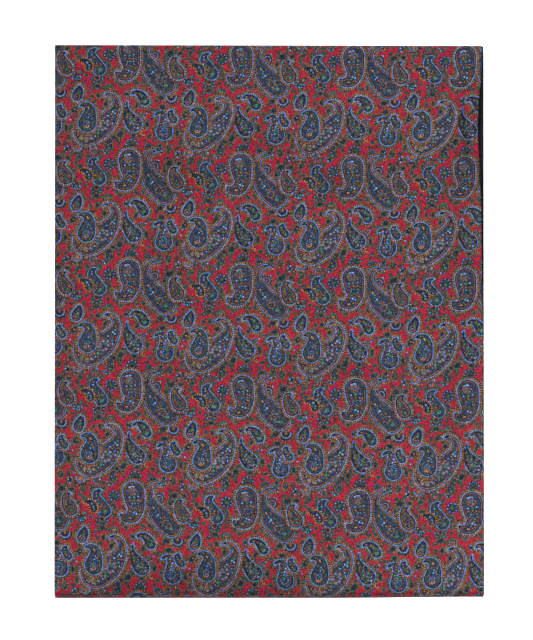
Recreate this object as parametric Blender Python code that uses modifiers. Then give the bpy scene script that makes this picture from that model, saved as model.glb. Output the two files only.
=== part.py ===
"""Two-sided silk scarf, folded in half twice and laid flat.

A printed silk face and a plain backing of the same cut are seamed together all
round. The long scarf is folded end to end, and then end to end again, so four
stretches lie on each other: eight walls of cloth, one gap apart.

Walls are numbered from the table up:

    7 silk     top stretch, print up          front fold joins 7 to 0
    6 backing  top stretch                    front fold joins 6 to 1
    5 backing  second stretch, facing up      front fold joins 5 to 2
    4 silk     second stretch                 front fold joins 4 to 3
    3 silk     third stretch                  back fold joins 3 to 0
    2 backing  third stretch                  back fold joins 2 to 1
    1 backing  under stretch
    0 silk     under stretch, print down, flat on the table

The frame is +X to the scarf's right side, +Y away from the front fold and +Z
up. The origin is the middle of the underside.
"""

import math
from typing import NamedTuple

import bmesh
import bpy
import numpy as np

# Driving dimensions, in metres.
SCARF_WIDTH = 0.320
SCARF_LENGTH = 1.650
STRETCHES = 4
WALL = 0.0010
GAP = 0.0003
EDGE_ROUND = 0.0003

HALF_WIDTH = SCARF_WIDTH / 2
HALF_LENGTH = SCARF_LENGTH / STRETCHES / 2
PITCH = WALL + GAP
TOP_WALL = 2 * STRETCHES - 1

# How the folded stack lies.
HOOK_REACH = 0.012  # how far the back fold's cloth runs on over the third stretch
BACK_FOLD_INSET = 0.0008  # the back fold lies this far inside the free ends
FRONT_CORNER_DRAW = 0.0013  # the front fold's right corner is pulled in by this much
FRONT_DRAW_START = 0.040  # from this far across
FRONT_DRAW_REACH = 0.100  # and fades out this far behind the fold
LEFT_LEAN = 0.0004
RIGHT_LEAN = 0.0005
LOFT = 0.0009  # the top stretch lies this much looser than the rest
LOFT_REACH = 0.012  # over this distance from its edges
BRIDGE_INSET = 0.0020  # how deep the layers show at the hidden solid's edges

# Grid of a cloth wall.
CROSS_SEGMENTS = 10
STRAIGHT_SEGMENTS = 18
TURN_SEGMENTS = 6

SILK_COLOUR = (0.115, 0.052, 0.066, 1.0)
BACKING_COLOUR = (0.010, 0.010, 0.013, 1.0)


class DrawnEdge(NamedTuple):
    """Where along the scarf, and how far, the top stretch's right edge is drawn in."""

    along: float
    draw: float


DRAWN_EDGE = (
    DrawnEdge(along=-0.018, draw=0.0001),
    DrawnEdge(along=0.000, draw=0.0009),
    DrawnEdge(along=0.090, draw=0.0020),
    DrawnEdge(along=0.125, draw=0.0029),
    DrawnEdge(along=0.146, draw=0.0037),
    DrawnEdge(along=0.168, draw=0.0028),
    DrawnEdge(along=0.206, draw=0.0008),
)


class Trough(NamedTuple):
    """A soft hollow in the top stretch, by its middle, half sizes and depth."""

    across: float
    along: float
    half_width: float
    half_length: float
    depth: float


TROUGHS = (
    Trough(across=0.147, along=0.143, half_width=0.0045, half_length=0.016, depth=0.0008),
    Trough(across=0.070, along=-0.195, half_width=0.060, half_length=0.003, depth=0.0003),
)


class Lay(NamedTuple):
    """How far one stretch's sides and free end lie inside the folded outline."""

    left: float
    right: float
    back: float


TOP_LAY = Lay(left=0.0, right=0.0, back=0.0)
SECOND_LAY = Lay(left=0.0004, right=0.0, back=0.0004)
THIRD_LAY = Lay(left=0.0006, right=0.0007, back=0.0)
UNDER_LAY = Lay(left=0.0003, right=0.0004, back=0.0)


def wall_height(wall: int) -> float:
    """Height of a wall's middle when nothing lifts it."""
    return WALL / 2 + wall * PITCH


FRONT_AXIS_Z = (wall_height(0) + wall_height(TOP_WALL)) / 2
FRONT_AXIS_Y = -HALF_LENGTH + FRONT_AXIS_Z
BACK_AXIS_Z = (wall_height(0) + wall_height(3)) / 2
BACK_AXIS_Y = HALF_LENGTH - BACK_FOLD_INSET - BACK_AXIS_Z
HOOK_END_Y = BACK_AXIS_Y - HOOK_REACH


def smooth_step(value: np.ndarray) -> np.ndarray:
    """Rise from 0 to 1 with level ends, by 3t^2 - 2t^3."""
    t = np.clip(value, 0.0, 1.0)
    return t * t * (3 - 2 * t)


def bump(offset: np.ndarray) -> np.ndarray:
    """A hump of height 1 that is gone past one unit, by (1 - t^2)^2."""
    t = np.clip(np.abs(offset), 0.0, 1.0)
    return (1 - t * t) ** 2


def edge_rise(offset: np.ndarray, reach: float) -> np.ndarray:
    """Rise from 0 at both edges, half a side away from the middle, to 1 inside."""
    return smooth_step((reach - np.abs(offset)) / LOFT_REACH)


def left_edge(along: np.ndarray, lay: Lay) -> np.ndarray:
    """Left side of a stretch, which leans in a little towards the back."""
    lean = LEFT_LEAN * smooth_step((along + HALF_LENGTH) / (2 * HALF_LENGTH))
    return -HALF_WIDTH + lay.left + lean


def right_edge(along: np.ndarray, lay: Lay) -> np.ndarray:
    """Right side of a stretch, which leans in a little towards the back."""
    lean = RIGHT_LEAN * smooth_step((along + HALF_LENGTH) / (2 * HALF_LENGTH))
    return HALF_WIDTH - lay.right - lean


def drawn_right_edge(along: np.ndarray, lay: Lay) -> np.ndarray:
    """Right side of the top stretch, drawn in to show the backing below."""
    rows = np.array(DRAWN_EDGE)
    return right_edge(along, lay) - np.interp(along, rows[:, 0], rows[:, 1])


def front_draw(across: np.ndarray) -> np.ndarray:
    """How far the front fold is pulled in towards the right corner."""
    reach = HALF_WIDTH - FRONT_DRAW_START
    return FRONT_CORNER_DRAW * smooth_step((across - FRONT_DRAW_START) / reach)


def lift_of_top(across: np.ndarray, along: np.ndarray) -> np.ndarray:
    """Lift of the top stretch: a low loft, nothing at its edges, less its troughs."""
    lift = LOFT * edge_rise(across, HALF_WIDTH)
    lift = lift * edge_rise(along, HALF_LENGTH - FRONT_AXIS_Z)
    for trough in TROUGHS:
        hollow = bump((across - trough.across) / trough.half_width)
        hollow = hollow * bump((along - trough.along) / trough.half_length)
        lift = lift - trough.depth * hollow
    return np.maximum(lift, 0.0)


def straight(start_y: float, end_y: float, wall: int, segments: int = STRAIGHT_SEGMENTS) -> np.ndarray:
    """Stations of a level stretch at a wall's height, as rows of y and z."""
    along = np.linspace(start_y, end_y, segments + 1)
    return np.column_stack([along, np.full_like(along, wall_height(wall))])


def front_quarter(wall: int) -> np.ndarray:
    """Quarter turn of the front fold, from a wall to just short of half height.

    The turn is an arc about the fold's axis, y = axis - r sin a and
    z = axis + r cos a, where r is negative below the axis. It ends where the
    wall's inner side is half a gap away from the other half's.
    """
    radius = wall_height(wall) - FRONT_AXIS_Z
    last = math.acos(GAP / 2 / (abs(radius) - WALL / 2))
    angle = np.linspace(0.0, last, TURN_SEGMENTS + 1)
    along = FRONT_AXIS_Y - abs(radius) * np.sin(angle)
    return np.column_stack([along, FRONT_AXIS_Z + radius * np.cos(angle)])


def half_turn(axis_y: float, lower: int, upper: int, side: int) -> np.ndarray:
    """Half turn from a lower wall to an upper one, bulging along side (+1 is +Y)."""
    axis_z = (wall_height(lower) + wall_height(upper)) / 2
    radius = (wall_height(upper) - wall_height(lower)) / 2
    angle = np.linspace(0.0, math.pi, 2 * TURN_SEGMENTS + 1)
    return np.column_stack([axis_y + side * radius * np.sin(angle), axis_z - radius * np.cos(angle)])


def joined(*legs: np.ndarray) -> np.ndarray:
    """Join path legs end to end, leaving out each leg's repeated first station."""
    return np.vstack([legs[0]] + [leg[1:] for leg in legs[1:]])


def cross_stations() -> np.ndarray:
    """Shares of the width, 0 to 1, with extra lines through the narrow trough."""
    even = np.linspace(0.0, 1.0, CROSS_SEGMENTS + 1)
    middle = (TROUGHS[0].across + HALF_WIDTH) / SCARF_WIDTH
    reach = TROUGHS[0].half_width / SCARF_WIDTH
    fine = middle + reach * np.array([-1.0, -0.5, 0.0, 0.5, 1.0])
    far_from_fine = np.abs(even - middle) > 1.5 * reach
    return np.sort(np.concatenate([even[far_from_fine], fine]))


def material(name: str, colour: tuple[float, float, float, float], roughness: float) -> bpy.types.Material:
    """A Principled material of one cloth."""
    made = bpy.data.materials.new(name)
    made.use_nodes = True
    shader = made.node_tree.nodes["Principled BSDF"]
    shader.inputs["Base Color"].default_value = colour
    shader.inputs["Roughness"].default_value = roughness
    shader.inputs["Metallic"].default_value = 0.0
    return made


def cloth_run(
    name: str,
    path: np.ndarray,
    lay: Lay,
    cloth: bpy.types.Material,
    collection: bpy.types.Collection,
    top: bool = False,
) -> bpy.types.Object:
    """Lay one wall of cloth along a path.

    A grid is bent so that its rows follow the path and its columns the width,
    and Solidify gives it its wall.

    Args:
        name: The node's name.
        path: Stations of the wall's middle, as rows of y and z.
        lay: How the stretch lies inside the folded outline.
        cloth: The wall's material.
        collection: Where the object goes.
        top: Whether this is the top stretch, which is drawn in and lofted.

    Returns:
        The new object.
    """
    share = cross_stations()
    rows = len(path) - 1
    columns = len(share) - 1
    body = bmesh.new()
    bmesh.ops.create_grid(body, x_segments=columns, y_segments=rows, size=1.0)
    place = np.array([vertex.co for vertex in body.verts])
    column = np.rint((place[:, 0] + 1) / 2 * columns).astype(int)
    row = np.rint((place[:, 1] + 1) / 2 * rows).astype(int)
    along = path[row, 0]
    height = path[row, 1]
    right = drawn_right_edge(along, lay) if top else right_edge(along, lay)
    left = left_edge(along, lay)
    across = left + share[column] * (right - left)
    near_front = smooth_step((FRONT_AXIS_Y + FRONT_DRAW_REACH - along) / FRONT_DRAW_REACH)
    lift = lift_of_top(across, along) if top else 0.0
    spots = np.column_stack([across, along + front_draw(across) * near_front, height + lift])
    for vertex, spot in zip(body.verts, spots):
        vertex.co = spot
    mesh = bpy.data.meshes.new(name)
    body.to_mesh(mesh)
    body.free()
    mesh.materials.append(cloth)
    mesh.shade_smooth()
    made = bpy.data.objects.new(name, mesh)
    collection.objects.link(made)
    wall = made.modifiers.new("wall", "SOLIDIFY")
    wall.thickness = WALL
    wall.offset = 0.0
    wall.use_even_offset = True
    rim = made.modifiers.new("rim", "BEVEL")
    rim.width = EDGE_ROUND
    rim.segments = 1
    rim.limit_method = "ANGLE"
    rim.angle_limit = math.radians(60)
    return made


def bridge(name: str, lower: int, collection: bpy.types.Collection) -> bpy.types.Object:
    """A thin block that joins two hidden walls everywhere but at their edges."""
    upper = lower + 1
    front = FRONT_AXIS_Y + BRIDGE_INSET
    back = HOOK_END_Y - GAP - BRIDGE_INSET
    size = (SCARF_WIDTH - 2 * BRIDGE_INSET - 2 * THIRD_LAY.right, back - front, PITCH)
    middle = (0.0, (front + back) / 2, (wall_height(lower) + wall_height(upper)) / 2)
    bpy.ops.mesh.primitive_cube_add(size=1.0, location=middle)
    made = bpy.context.object
    made.name = name
    made.scale = size
    bpy.ops.object.transform_apply(location=False, rotation=False, scale=True)
    for owner in list(made.users_collection):
        owner.objects.unlink(made)
    collection.objects.link(made)
    return made


def as_tool(made: bpy.types.Object) -> bpy.types.Object:
    """Mark an object as a tool for a Boolean and not a piece of the scarf."""
    made.hide_render = True
    made.display_type = "WIRE"
    return made


def build_scarf() -> None:
    """Make every wall of the folded scarf."""
    for found in list(bpy.data.objects):
        bpy.data.objects.remove(found)
    scarf = bpy.data.collections.new("folded_silk_scarf")
    tools = bpy.data.collections.new("union_tools")
    bpy.context.scene.collection.children.link(scarf)
    bpy.context.scene.collection.children.link(tools)
    silk = material("printed_silk_twill", SILK_COLOUR, 0.55)
    backing = material("plain_dark_backing", BACKING_COLOUR, 0.85)

    top_end = HALF_LENGTH - TOP_LAY.back
    second_end = HALF_LENGTH - SECOND_LAY.back
    third_end = HOOK_END_Y - GAP
    cloth_run(
        "silk_top_stretch",
        joined(straight(top_end, FRONT_AXIS_Y, 7), front_quarter(7)),
        TOP_LAY,
        silk,
        scarf,
        top=True,
    )
    cloth_run(
        "backing_top_stretch",
        joined(straight(top_end, FRONT_AXIS_Y, 6), front_quarter(6)),
        TOP_LAY,
        backing,
        scarf,
        top=True,
    )
    cloth_run(
        "backing_second_stretch",
        joined(straight(second_end, FRONT_AXIS_Y, 5), front_quarter(5)),
        SECOND_LAY,
        backing,
        scarf,
    )
    cloth_run(
        "backing_under_stretch",
        joined(
            front_quarter(1)[::-1],
            straight(FRONT_AXIS_Y, BACK_AXIS_Y, 1),
            half_turn(BACK_AXIS_Y, 1, 2, side=1),
            straight(BACK_AXIS_Y, HOOK_END_Y, 2, segments=1),
        ),
        UNDER_LAY,
        backing,
        scarf,
    )
    cloth_run(
        "silk_under_stretch",
        joined(
            front_quarter(0)[::-1],
            straight(FRONT_AXIS_Y, BACK_AXIS_Y, 0),
            half_turn(BACK_AXIS_Y, 0, 3, side=1),
            straight(BACK_AXIS_Y, HOOK_END_Y, 3, segments=1),
        ),
        UNDER_LAY,
        silk,
        scarf,
    )
    hidden = cloth_run(
        "hidden_layers",
        joined(
            straight(third_end, FRONT_AXIS_Y, 3, segments=1),
            half_turn(FRONT_AXIS_Y, 3, 4, side=-1),
            straight(FRONT_AXIS_Y, second_end, 4, segments=1),
        ),
        THIRD_LAY,
        silk,
        scarf,
    )
    third_backing = cloth_run(
        "third_stretch_backing",
        joined(front_quarter(2)[::-1], straight(FRONT_AXIS_Y, third_end, 2, segments=1)),
        THIRD_LAY,
        backing,
        tools,
    )
    for tool in (third_backing, bridge("lower_bridge", 2, tools), bridge("upper_bridge", 3, tools)):
        union = hidden.modifiers.new(tool.name, "BOOLEAN")
        union.operation = "UNION"
        union.solver = "EXACT"
        union.object = as_tool(tool)


build_scarf()
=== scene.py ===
"""Looks of a two-sided silk scarf, folded in half twice and laid flat.

A printed silk face and a plain near-black backing of one cut are seamed all
round. Four stretches lie on each other, so the scarf is built as runs of
cloth: each run is one panel's surface carried along a folded path, with soft
rolled edges that meet the other panel's at a stitched seam. The paisley
print is charted in millimetres on the flat cloth, in listed tables.
numpy works out, for each corner of the cloth's mesh, how far it lies from
the outline of the nearest paisley and where it lies on the nearest flower,
and the shader turns those into inks.

The frame is the CAD model's: +X to the scarf's right side, +Y away from the
front fold, +Z up, with the origin under the middle.
"""

import logging
import math
from collections.abc import Callable
from dataclasses import dataclass
from enum import Enum
from typing import NamedTuple

import bpy
import numpy as np
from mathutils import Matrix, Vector

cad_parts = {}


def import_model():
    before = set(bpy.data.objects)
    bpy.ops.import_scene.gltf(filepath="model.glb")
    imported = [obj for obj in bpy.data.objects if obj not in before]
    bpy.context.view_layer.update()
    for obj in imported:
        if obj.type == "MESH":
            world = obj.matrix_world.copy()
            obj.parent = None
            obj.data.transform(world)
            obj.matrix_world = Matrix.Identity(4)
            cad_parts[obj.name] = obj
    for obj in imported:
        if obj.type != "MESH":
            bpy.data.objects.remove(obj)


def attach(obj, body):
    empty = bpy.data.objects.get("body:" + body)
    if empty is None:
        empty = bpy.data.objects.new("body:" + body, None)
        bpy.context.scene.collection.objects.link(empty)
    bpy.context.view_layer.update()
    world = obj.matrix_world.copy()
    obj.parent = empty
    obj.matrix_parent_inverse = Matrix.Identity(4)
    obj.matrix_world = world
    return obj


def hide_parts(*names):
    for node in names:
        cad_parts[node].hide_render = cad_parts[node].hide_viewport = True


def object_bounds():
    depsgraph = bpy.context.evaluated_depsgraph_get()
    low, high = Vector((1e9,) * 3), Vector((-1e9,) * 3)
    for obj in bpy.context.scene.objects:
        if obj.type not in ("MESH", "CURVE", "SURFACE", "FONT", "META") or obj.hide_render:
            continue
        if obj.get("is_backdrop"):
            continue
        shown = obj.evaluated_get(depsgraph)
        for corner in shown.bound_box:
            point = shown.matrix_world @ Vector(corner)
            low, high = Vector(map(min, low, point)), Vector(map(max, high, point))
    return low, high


Array = np.ndarray
Colour = tuple[float, float, float, float]
Places = tuple[tuple[str, tuple[tuple[float, ...], ...]], ...]
Material = bpy.types.Material
Mesh = bpy.types.Mesh
Object = bpy.types.Object
Socket = bpy.types.NodeSocket

LOG = logging.getLogger("silk_scarf")
MM = 0.001

# The folded scarf, in metres, as the CAD model has it.
HALF_WIDTH = 0.160
HALF_LENGTH = 0.20625
FRONT_AXIS_Y = -0.2012
FRONT_AXIS_Z = 0.00505
BACK_AXIS_Y = 0.2030
BACK_AXIS_Z = 0.00245
HOOK_END_Y = 0.1910
HOOK_GAP = 0.0003
SECOND_END_Y = 0.20585
LEAN_LEFT = 0.0004
LEAN_RIGHT = 0.0005
FRONT_CORNER_DRAW = 0.0009
BACK_CORNER_DRAW = 0.0007
FRONT_DRAW_START = 0.040
FRONT_DRAW_REACH = 0.100
EDGE_UNEVEN = 0.00002

# Heights of the cloth's own surfaces, from the table up.
UNDER_SILK_Z = 0.0
UNDER_BACKING_Z = 0.0023
THIRD_BACKING_Z = 0.0026
THIRD_SILK_Z = 0.0049
SECOND_SILK_Z = 0.0052
SECOND_BACKING_Z = 0.0075
TOP_BACKING_Z = 0.0078
TOP_SILK_Z = 0.0101
BODY = 0.0011  # how far a run's cloth reaches in behind its surface
DYE_DEPTH = 0.56  # the cloth takes its inks this deep, under the studio's bright light


def dyed(colour: str, alpha: float = 1.0) -> Colour:
    """Linear colour of a dye, given as sRGB hex, as deep as the cloth takes it."""
    red, green, blue, _ = linear(colour)
    return (red * DYE_DEPTH, green * DYE_DEPTH, blue * DYE_DEPTH, alpha)


def smooth_step(value: Array) -> Array:
    """Rise from 0 to 1 with level ends, by 3t^2 - 2t^3."""
    t = np.clip(value, 0.0, 1.0)
    return t * t * (3 - 2 * t)


def hump(offset: Array) -> Array:
    """A hump of height 1 that is gone past one unit, by (1 - t^2)^2."""
    t = np.clip(np.abs(offset), 0.0, 1.0)
    return (1 - t * t) ** 2


def linear(colour: str) -> Colour:
    """Turn an sRGB hex colour into linear light, with full alpha.

    Args:
        colour: Six hex digits.

    Returns:
        Red, green, blue and alpha.
    """
    share = np.array([int(colour[start : start + 2], 16) for start in (0, 2, 4)]) / 255
    light = np.where(share <= 0.04045, share / 12.92, ((share + 0.055) / 1.055) ** 2.4)
    return (float(light[0]), float(light[1]), float(light[2]), 1.0)


def placed(name: str, data: bpy.types.ID) -> Object:
    """Put a mesh, light or camera into the scene as an object."""
    made = bpy.data.objects.new(name, data)
    bpy.context.scene.collection.objects.link(made)
    return made


# ---------------------------------------------------------------- the print


class Ink(Enum):
    """The printer's inks, as sRGB hex colours."""

    GROUND = "A3293E"
    SKY = "648CCB"
    BRIGHT = "84AAEA"
    NAVY = "2D4159"
    TEAL = "2F4650"
    GREEN = "487A6A"
    OCHRE = "8C6044"
    ORANGE = "C98350"
    OLIVE = "69634F"
    BLACK = "15131C"
    VIOLET = "62759E"
    BROWN = "63483D"
    TAN = "A37E66"
    INDIGO = "1E2D42"
    MOSS = "37493F"


(
    GROUND, SKY, BRIGHT, NAVY, TEAL, GREEN, OCHRE, ORANGE, OLIVE, BLACK, VIOLET, BROWN, TAN, INDIGO, MOSS,
) = Ink


class Laid(Enum):
    """How a band of ink is laid.

    SOLID is a line, TICKED has dark gaps, and BEADED has half-dark gaps
    that stand half a beat on from those of a ticked band beside it.
    """

    SOLID = 1.0
    TICKED = 0.0
    BEADED = 0.5


TICKED, BEADED = Laid.TICKED, Laid.BEADED


class BandStyle(NamedTuple):
    """Inks of a paisley from its heart outwards.

    Each band is (where it starts, ink, how it is laid unless solid), in mm
    from the outline, less than 0 inside it. Nothing is printed past the reach.
    """

    reach: float
    bands: tuple[tuple, ...]


class Paisley(NamedTuple):
    """A paisley as discs along its spine: (across, along, radius) in mm.

    One that yields lets its neighbours' bands reach that many mm into it.
    """

    style: str
    spine: tuple[tuple[float, float, float], ...]
    yields: float = 0.0


class SpotKind(NamedTuple):
    """An oval spot of ink with a rim: its half sizes and rim in mm."""

    long: float
    wide: float
    rim: float
    core_ink: Ink
    rim_ink: Ink

    @property
    def rim_share(self) -> float:
        """Width of the rim as a share of the smaller half size."""
        return self.rim / min(self.long, self.wide)

    @property
    def reach(self) -> float:
        """How far its ink reaches from its middle, in mm."""
        return max(self.long, self.wide) * (1 + self.rim_share)


class FlowerKind(NamedTuple):
    """A ring of petals round a disc, in mm.

    The petals' middles lie on the ring, rim is a share of the petal's own
    size, and nothing is printed below the floor, which makes a fan.
    """

    petals: int
    ring: float
    long: float
    wide: float
    rim: float
    disc: float
    heart: float
    floor: float
    petal_ink: Ink
    rim_ink: Ink
    disc_ink: Ink
    heart_ink: Ink

    @property
    def reach(self) -> float:
        """How far its ink reaches from its middle, in mm."""
        return self.ring + self.long * (1 + self.rim)


# The repeat of the print on the flat cloth, in mm, as (across, along). It and the
# six terms of the bow below were fitted by least squares, and rounded.
REPEAT = ((83.19, -3.02), (0.04, 82.3))
# Where the middle of the folded scarf lies on the chart, in mm.
CHART_MIDDLE = (77.9, -44.4)
# The weave has bowed. Each shift, in mm, has a term of across^2, one of across
# along and one of along^2, counted in units of 74.7 mm from the bow's middle.
BOW_UNIT = 74.7
BOW_MIDDLE = (41.1, 42.6)
BOW_ACROSS = (0.06, -0.172, 0.493)
BOW_ALONG = (0.612, 0.246, -0.112)
BAND_DEPTH = 8.6  # the bands of every style lie within this of its outer edge
BEADS_OUT = 1.0  # beads are spaced along a line this far outside the outline
BEAT_MM = 1.6  # how far apart the beats of ticks and beads lie
PAISLEY_REACH_MM = 34.0  # no band lies further than this from its paisley's middle, each way
# The weave is drawn left at the far left corner. The pull starts this far from
# the scarf's middle, and grows over this length, along and then across.
CORNER_PULL_MM = 1.9
CORNER_ALONG_MM = (160.0, 50.0)
CORNER_ACROSS_MM = (40.0, 200.0)
HIDDEN = 99.0  # an ornament coordinate that prints nothing

BAND_STYLES: dict[str, BandStyle] = {
    "great": BandStyle(3.0, (
        (-9.0, NAVY), (-2.1, INDIGO), (-1.7, OCHRE),
        (-0.9, BLACK), (-0.34, SKY), (0.36, TAN, TICKED),
        (1.4, OCHRE, BEADED), (2.0, OLIVE, TICKED),
    )),
    "long": BandStyle(2.9, (
        (-9.0, NAVY), (-2.1, INDIGO), (-1.7, OCHRE),
        (-0.9, BLACK), (-0.34, SKY), (0.34, BLACK),
        (0.8, OCHRE), (1.3, TAN, TICKED), (2.2, OLIVE, BEADED),
    )),
    "plain": BandStyle(2.2, (
        (-9.0, TEAL), (-2.6, BROWN, TICKED), (-2.1, NAVY),
        (-1.1, INDIGO), (-0.34, SKY), (0.34, OLIVE, TICKED),
        (1.3, BROWN),
    )),
    "drop": BandStyle(2.7, (
        (-9.0, TEAL), (-2.0, INDIGO), (-0.36, SKY),
        (0.36, TAN, TICKED), (1.4, OCHRE, BEADED), (2.1, OLIVE, BEADED),
    )),
    "tall": BandStyle(2.6, (
        (-9.0, TEAL), (-2.6, MOSS, TICKED), (-1.9, INDIGO),
        (-0.34, SKY), (0.34, BLACK), (0.7, TAN, TICKED),
        (1.6, BROWN, BEADED), (2.1, OCHRE, BEADED),
    )),
    "ringed": BandStyle(2.6, (
        (-9.0, TEAL), (-4.7, SKY, TICKED), (-3.6, BLACK),
        (-3.1, OCHRE, TICKED), (-2.4, NAVY), (-1.2, INDIGO),
        (-0.36, SKY), (0.36, BLACK), (0.8, OCHRE, BEADED),
        (1.5, OLIVE, TICKED),
    )),
    "seed": BandStyle(1.4, (
        (-9.0, NAVY), (-0.9, INDIGO), (-0.2, OLIVE),
        (0.4, BROWN, BEADED),
    )),
    "nested": BandStyle(3.3, (
        (-9.0, NAVY), (-2.2, TEAL), (-1.7, MOSS),
        (-1.0, BLACK), (-0.36, SKY), (0.36, BLACK),
        (0.7, OCHRE), (1.3, TAN, TICKED), (2.3, OCHRE, BEADED),
        (2.8, BROWN),
    )),
    "upright": BandStyle(3.0, (
        (-9.0, NAVY), (-2.2, INDIGO), (-1.8, OCHRE, BEADED),
        (-1.1, BLACK), (-0.36, SKY), (0.36, TAN, TICKED),
        (1.4, OCHRE, BEADED), (2.1, OLIVE, TICKED),
    )),
    "small": BandStyle(2.7, (
        (-9.0, NAVY), (-2.4, BROWN), (-1.9, OCHRE, BEADED),
        (-1.1, BLACK), (-0.36, SKY), (0.36, TAN, TICKED),
        (1.3, OCHRE, BEADED), (1.9, BROWN, TICKED),
    )),
    "beaded": BandStyle(0.9, (
        (-9.0, VIOLET), (-2.6, TEAL), (-1.8, INDIGO),
        (-0.5, ORANGE, TICKED), (0.4, TAN, TICKED),
    )),
    "tiny": BandStyle(2.4, (
        (-9.0, BROWN), (-2.0, NAVY), (-1.2, INDIGO),
        (-0.34, SKY), (0.34, TAN, TICKED), (1.4, OCHRE, BEADED),
        (2.0, BROWN),
    )),
    "drip": BandStyle(2.6, (
        (-9.0, TEAL), (-1.9, INDIGO), (-0.36, SKY),
        (0.36, TAN, TICKED), (1.4, OCHRE, BEADED), (2.0, OLIVE, TICKED),
    )),
}
UNDER_PAISLEYS: tuple[Paisley, ...] = (
    Paisley("great", (
        (25.1, 10.9, 10.8), (31.9, 14.2, 10.1), (38.5, 18.3, 7.9), (44.9, 26.8, 4.8),
        (46.6, 32.9, 3.0), (44.2, 37.3, 2.3), (40.2, 39.4, 1.3), (36.5, 38.0, 0.4),
    )),
    Paisley("long", (
        (83.1, 47.9, 8.2), (78.7, 51.9, 8.1), (74.0, 57.1, 7.0), (70.6, 63.3, 4.8), (68.9, 69.5, 2.9),
        (69.5, 74.6, 2.2), (72.1, 78.0, 1.7), (75.6, 79.3, 1.1), (78.9, 78.7, 0.3),
    )),
    Paisley("plain", (
        (34.3, 58.3, 5.0), (31.6, 63.2, 4.2), (28.8, 68.0, 3.1), (29.0, 71.3, 2.3), (31.2, 73.0, 1.2),
        (33.8, 73.4, 0.3),
    )),
    Paisley("drop", (
        (67.7, 34.4, 3.9), (65.6, 38.1, 3.6), (62.4, 40.7, 2.3), (59.4, 40.8, 1.6), (57.4, 38.9, 0.5),
    )),
    Paisley("tall", (
        (60.0, 17.1, 6.2), (55.9, 22.3, 4.7), (54.1, 27.3, 2.6), (53.9, 31.2, 1.4), (54.9, 34.6, 0.7),
    ), yields=3.4),
    Paisley("ringed", (
        (82.6, 11.5, 6.4), (83.2, 17.4, 4.9), (83.1, 21.8, 4.1), (81.5, 24.5, 2.8), (78.9, 25.3, 1.9),
        (76.3, 24.8, 1.3), (74.8, 22.8, 0.4),
    )),
    Paisley("seed", (
        (41.6, 82.0, 2.6), (41.6, 85.2, 2.2), (43.0, 88.3, 1.0), (45.5, 90.0, 0.4),
    )),
)
OVER_PAISLEYS: tuple[Paisley, ...] = (
    Paisley("nested", (
        (24.7, 17.2, 6.8), (26.1, 22.4, 5.5), (26.9, 26.1, 4.2), (25.7, 29.5, 3.3), (22.9, 31.1, 2.2),
        (20.2, 31.0, 1.3), (18.3, 29.5, 0.4),
    )),
    Paisley("upright", (
        (56.7, 72.5, 8.2), (57.4, 66.0, 7.4), (58.1, 61.0, 6.1), (55.6, 55.2, 5.2), (51.8, 53.2, 3.6),
        (48.8, 53.4, 2.8), (47.2, 54.8, 1.6), (46.1, 56.9, 0.4),
    )),
    Paisley("small", (
        (9.2, 58.7, 5.4), (7.7, 61.6, 4.8), (6.5, 64.4, 3.8), (6.0, 66.6, 3.0), (6.3, 68.6, 2.3),
        (8.0, 69.9, 1.1), (9.6, 70.2, 0.7), (11.0, 69.8, 0.3),
    )),
    Paisley("beaded", (
        (26.5, 59.4, 3.1), (26.0, 61.8, 3.1), (24.2, 63.8, 2.3), (21.6, 64.5, 1.6), (19.3, 64.4, 0.9),
    )),
    Paisley("tiny", (
        (6.1, 23.6, 3.3), (4.1, 26.8, 2.8), (3.6, 29.2, 1.9), (5.6, 30.6, 0.7),
    )),
    Paisley("drip", (
        (16.9, 37.4, 4.0), (17.8, 39.8, 4.0), (19.0, 42.6, 2.8), (19.1, 44.7, 1.5), (18.7, 46.1, 0.5),
    )),
)
SPOT_KINDS: dict[str, SpotKind] = {
    "dot": SpotKind(0.6, 0.6, 0.35, BRIGHT, BLACK),
    "sky": SpotKind(0.55, 0.5, 0.35, SKY, TEAL),
    "star": SpotKind(0.85, 0.65, 0.6, SKY, OCHRE),
    "amber": SpotKind(1.2, 0.45, 0.3, ORANGE, BLACK),
    "bead": SpotKind(0.5, 0.45, 0.35, TAN, BLACK),
    "bud": SpotKind(1.6, 1.15, 0.8, TEAL, OLIVE),
    "speck": SpotKind(1.1, 0.8, 0.5, TEAL, BROWN),
    "green": SpotKind(0.9, 0.7, 0.4, GREEN, TEAL),
    "olive": SpotKind(0.7, 0.5, 0.55, OLIVE, TEAL),
    "loop": SpotKind(0.9, 0.7, 0.8, GREEN, TAN),
    "violet": SpotKind(0.8, 0.6, 0.4, VIOLET, BLACK),
    "crumb": SpotKind(0.9, 0.55, 0.5, OCHRE, BROWN),
    "blade": SpotKind(2.0, 0.9, 0.8, TEAL, OLIVE),
    "brow": SpotKind(1.0, 0.38, 0.35, BRIGHT, NAVY),
    "shade": SpotKind(1.8, 1.3, 1.1, INDIGO, OLIVE),
    "husk": SpotKind(2.2, 1.1, 1.2, INDIGO, OLIVE),
}
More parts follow.
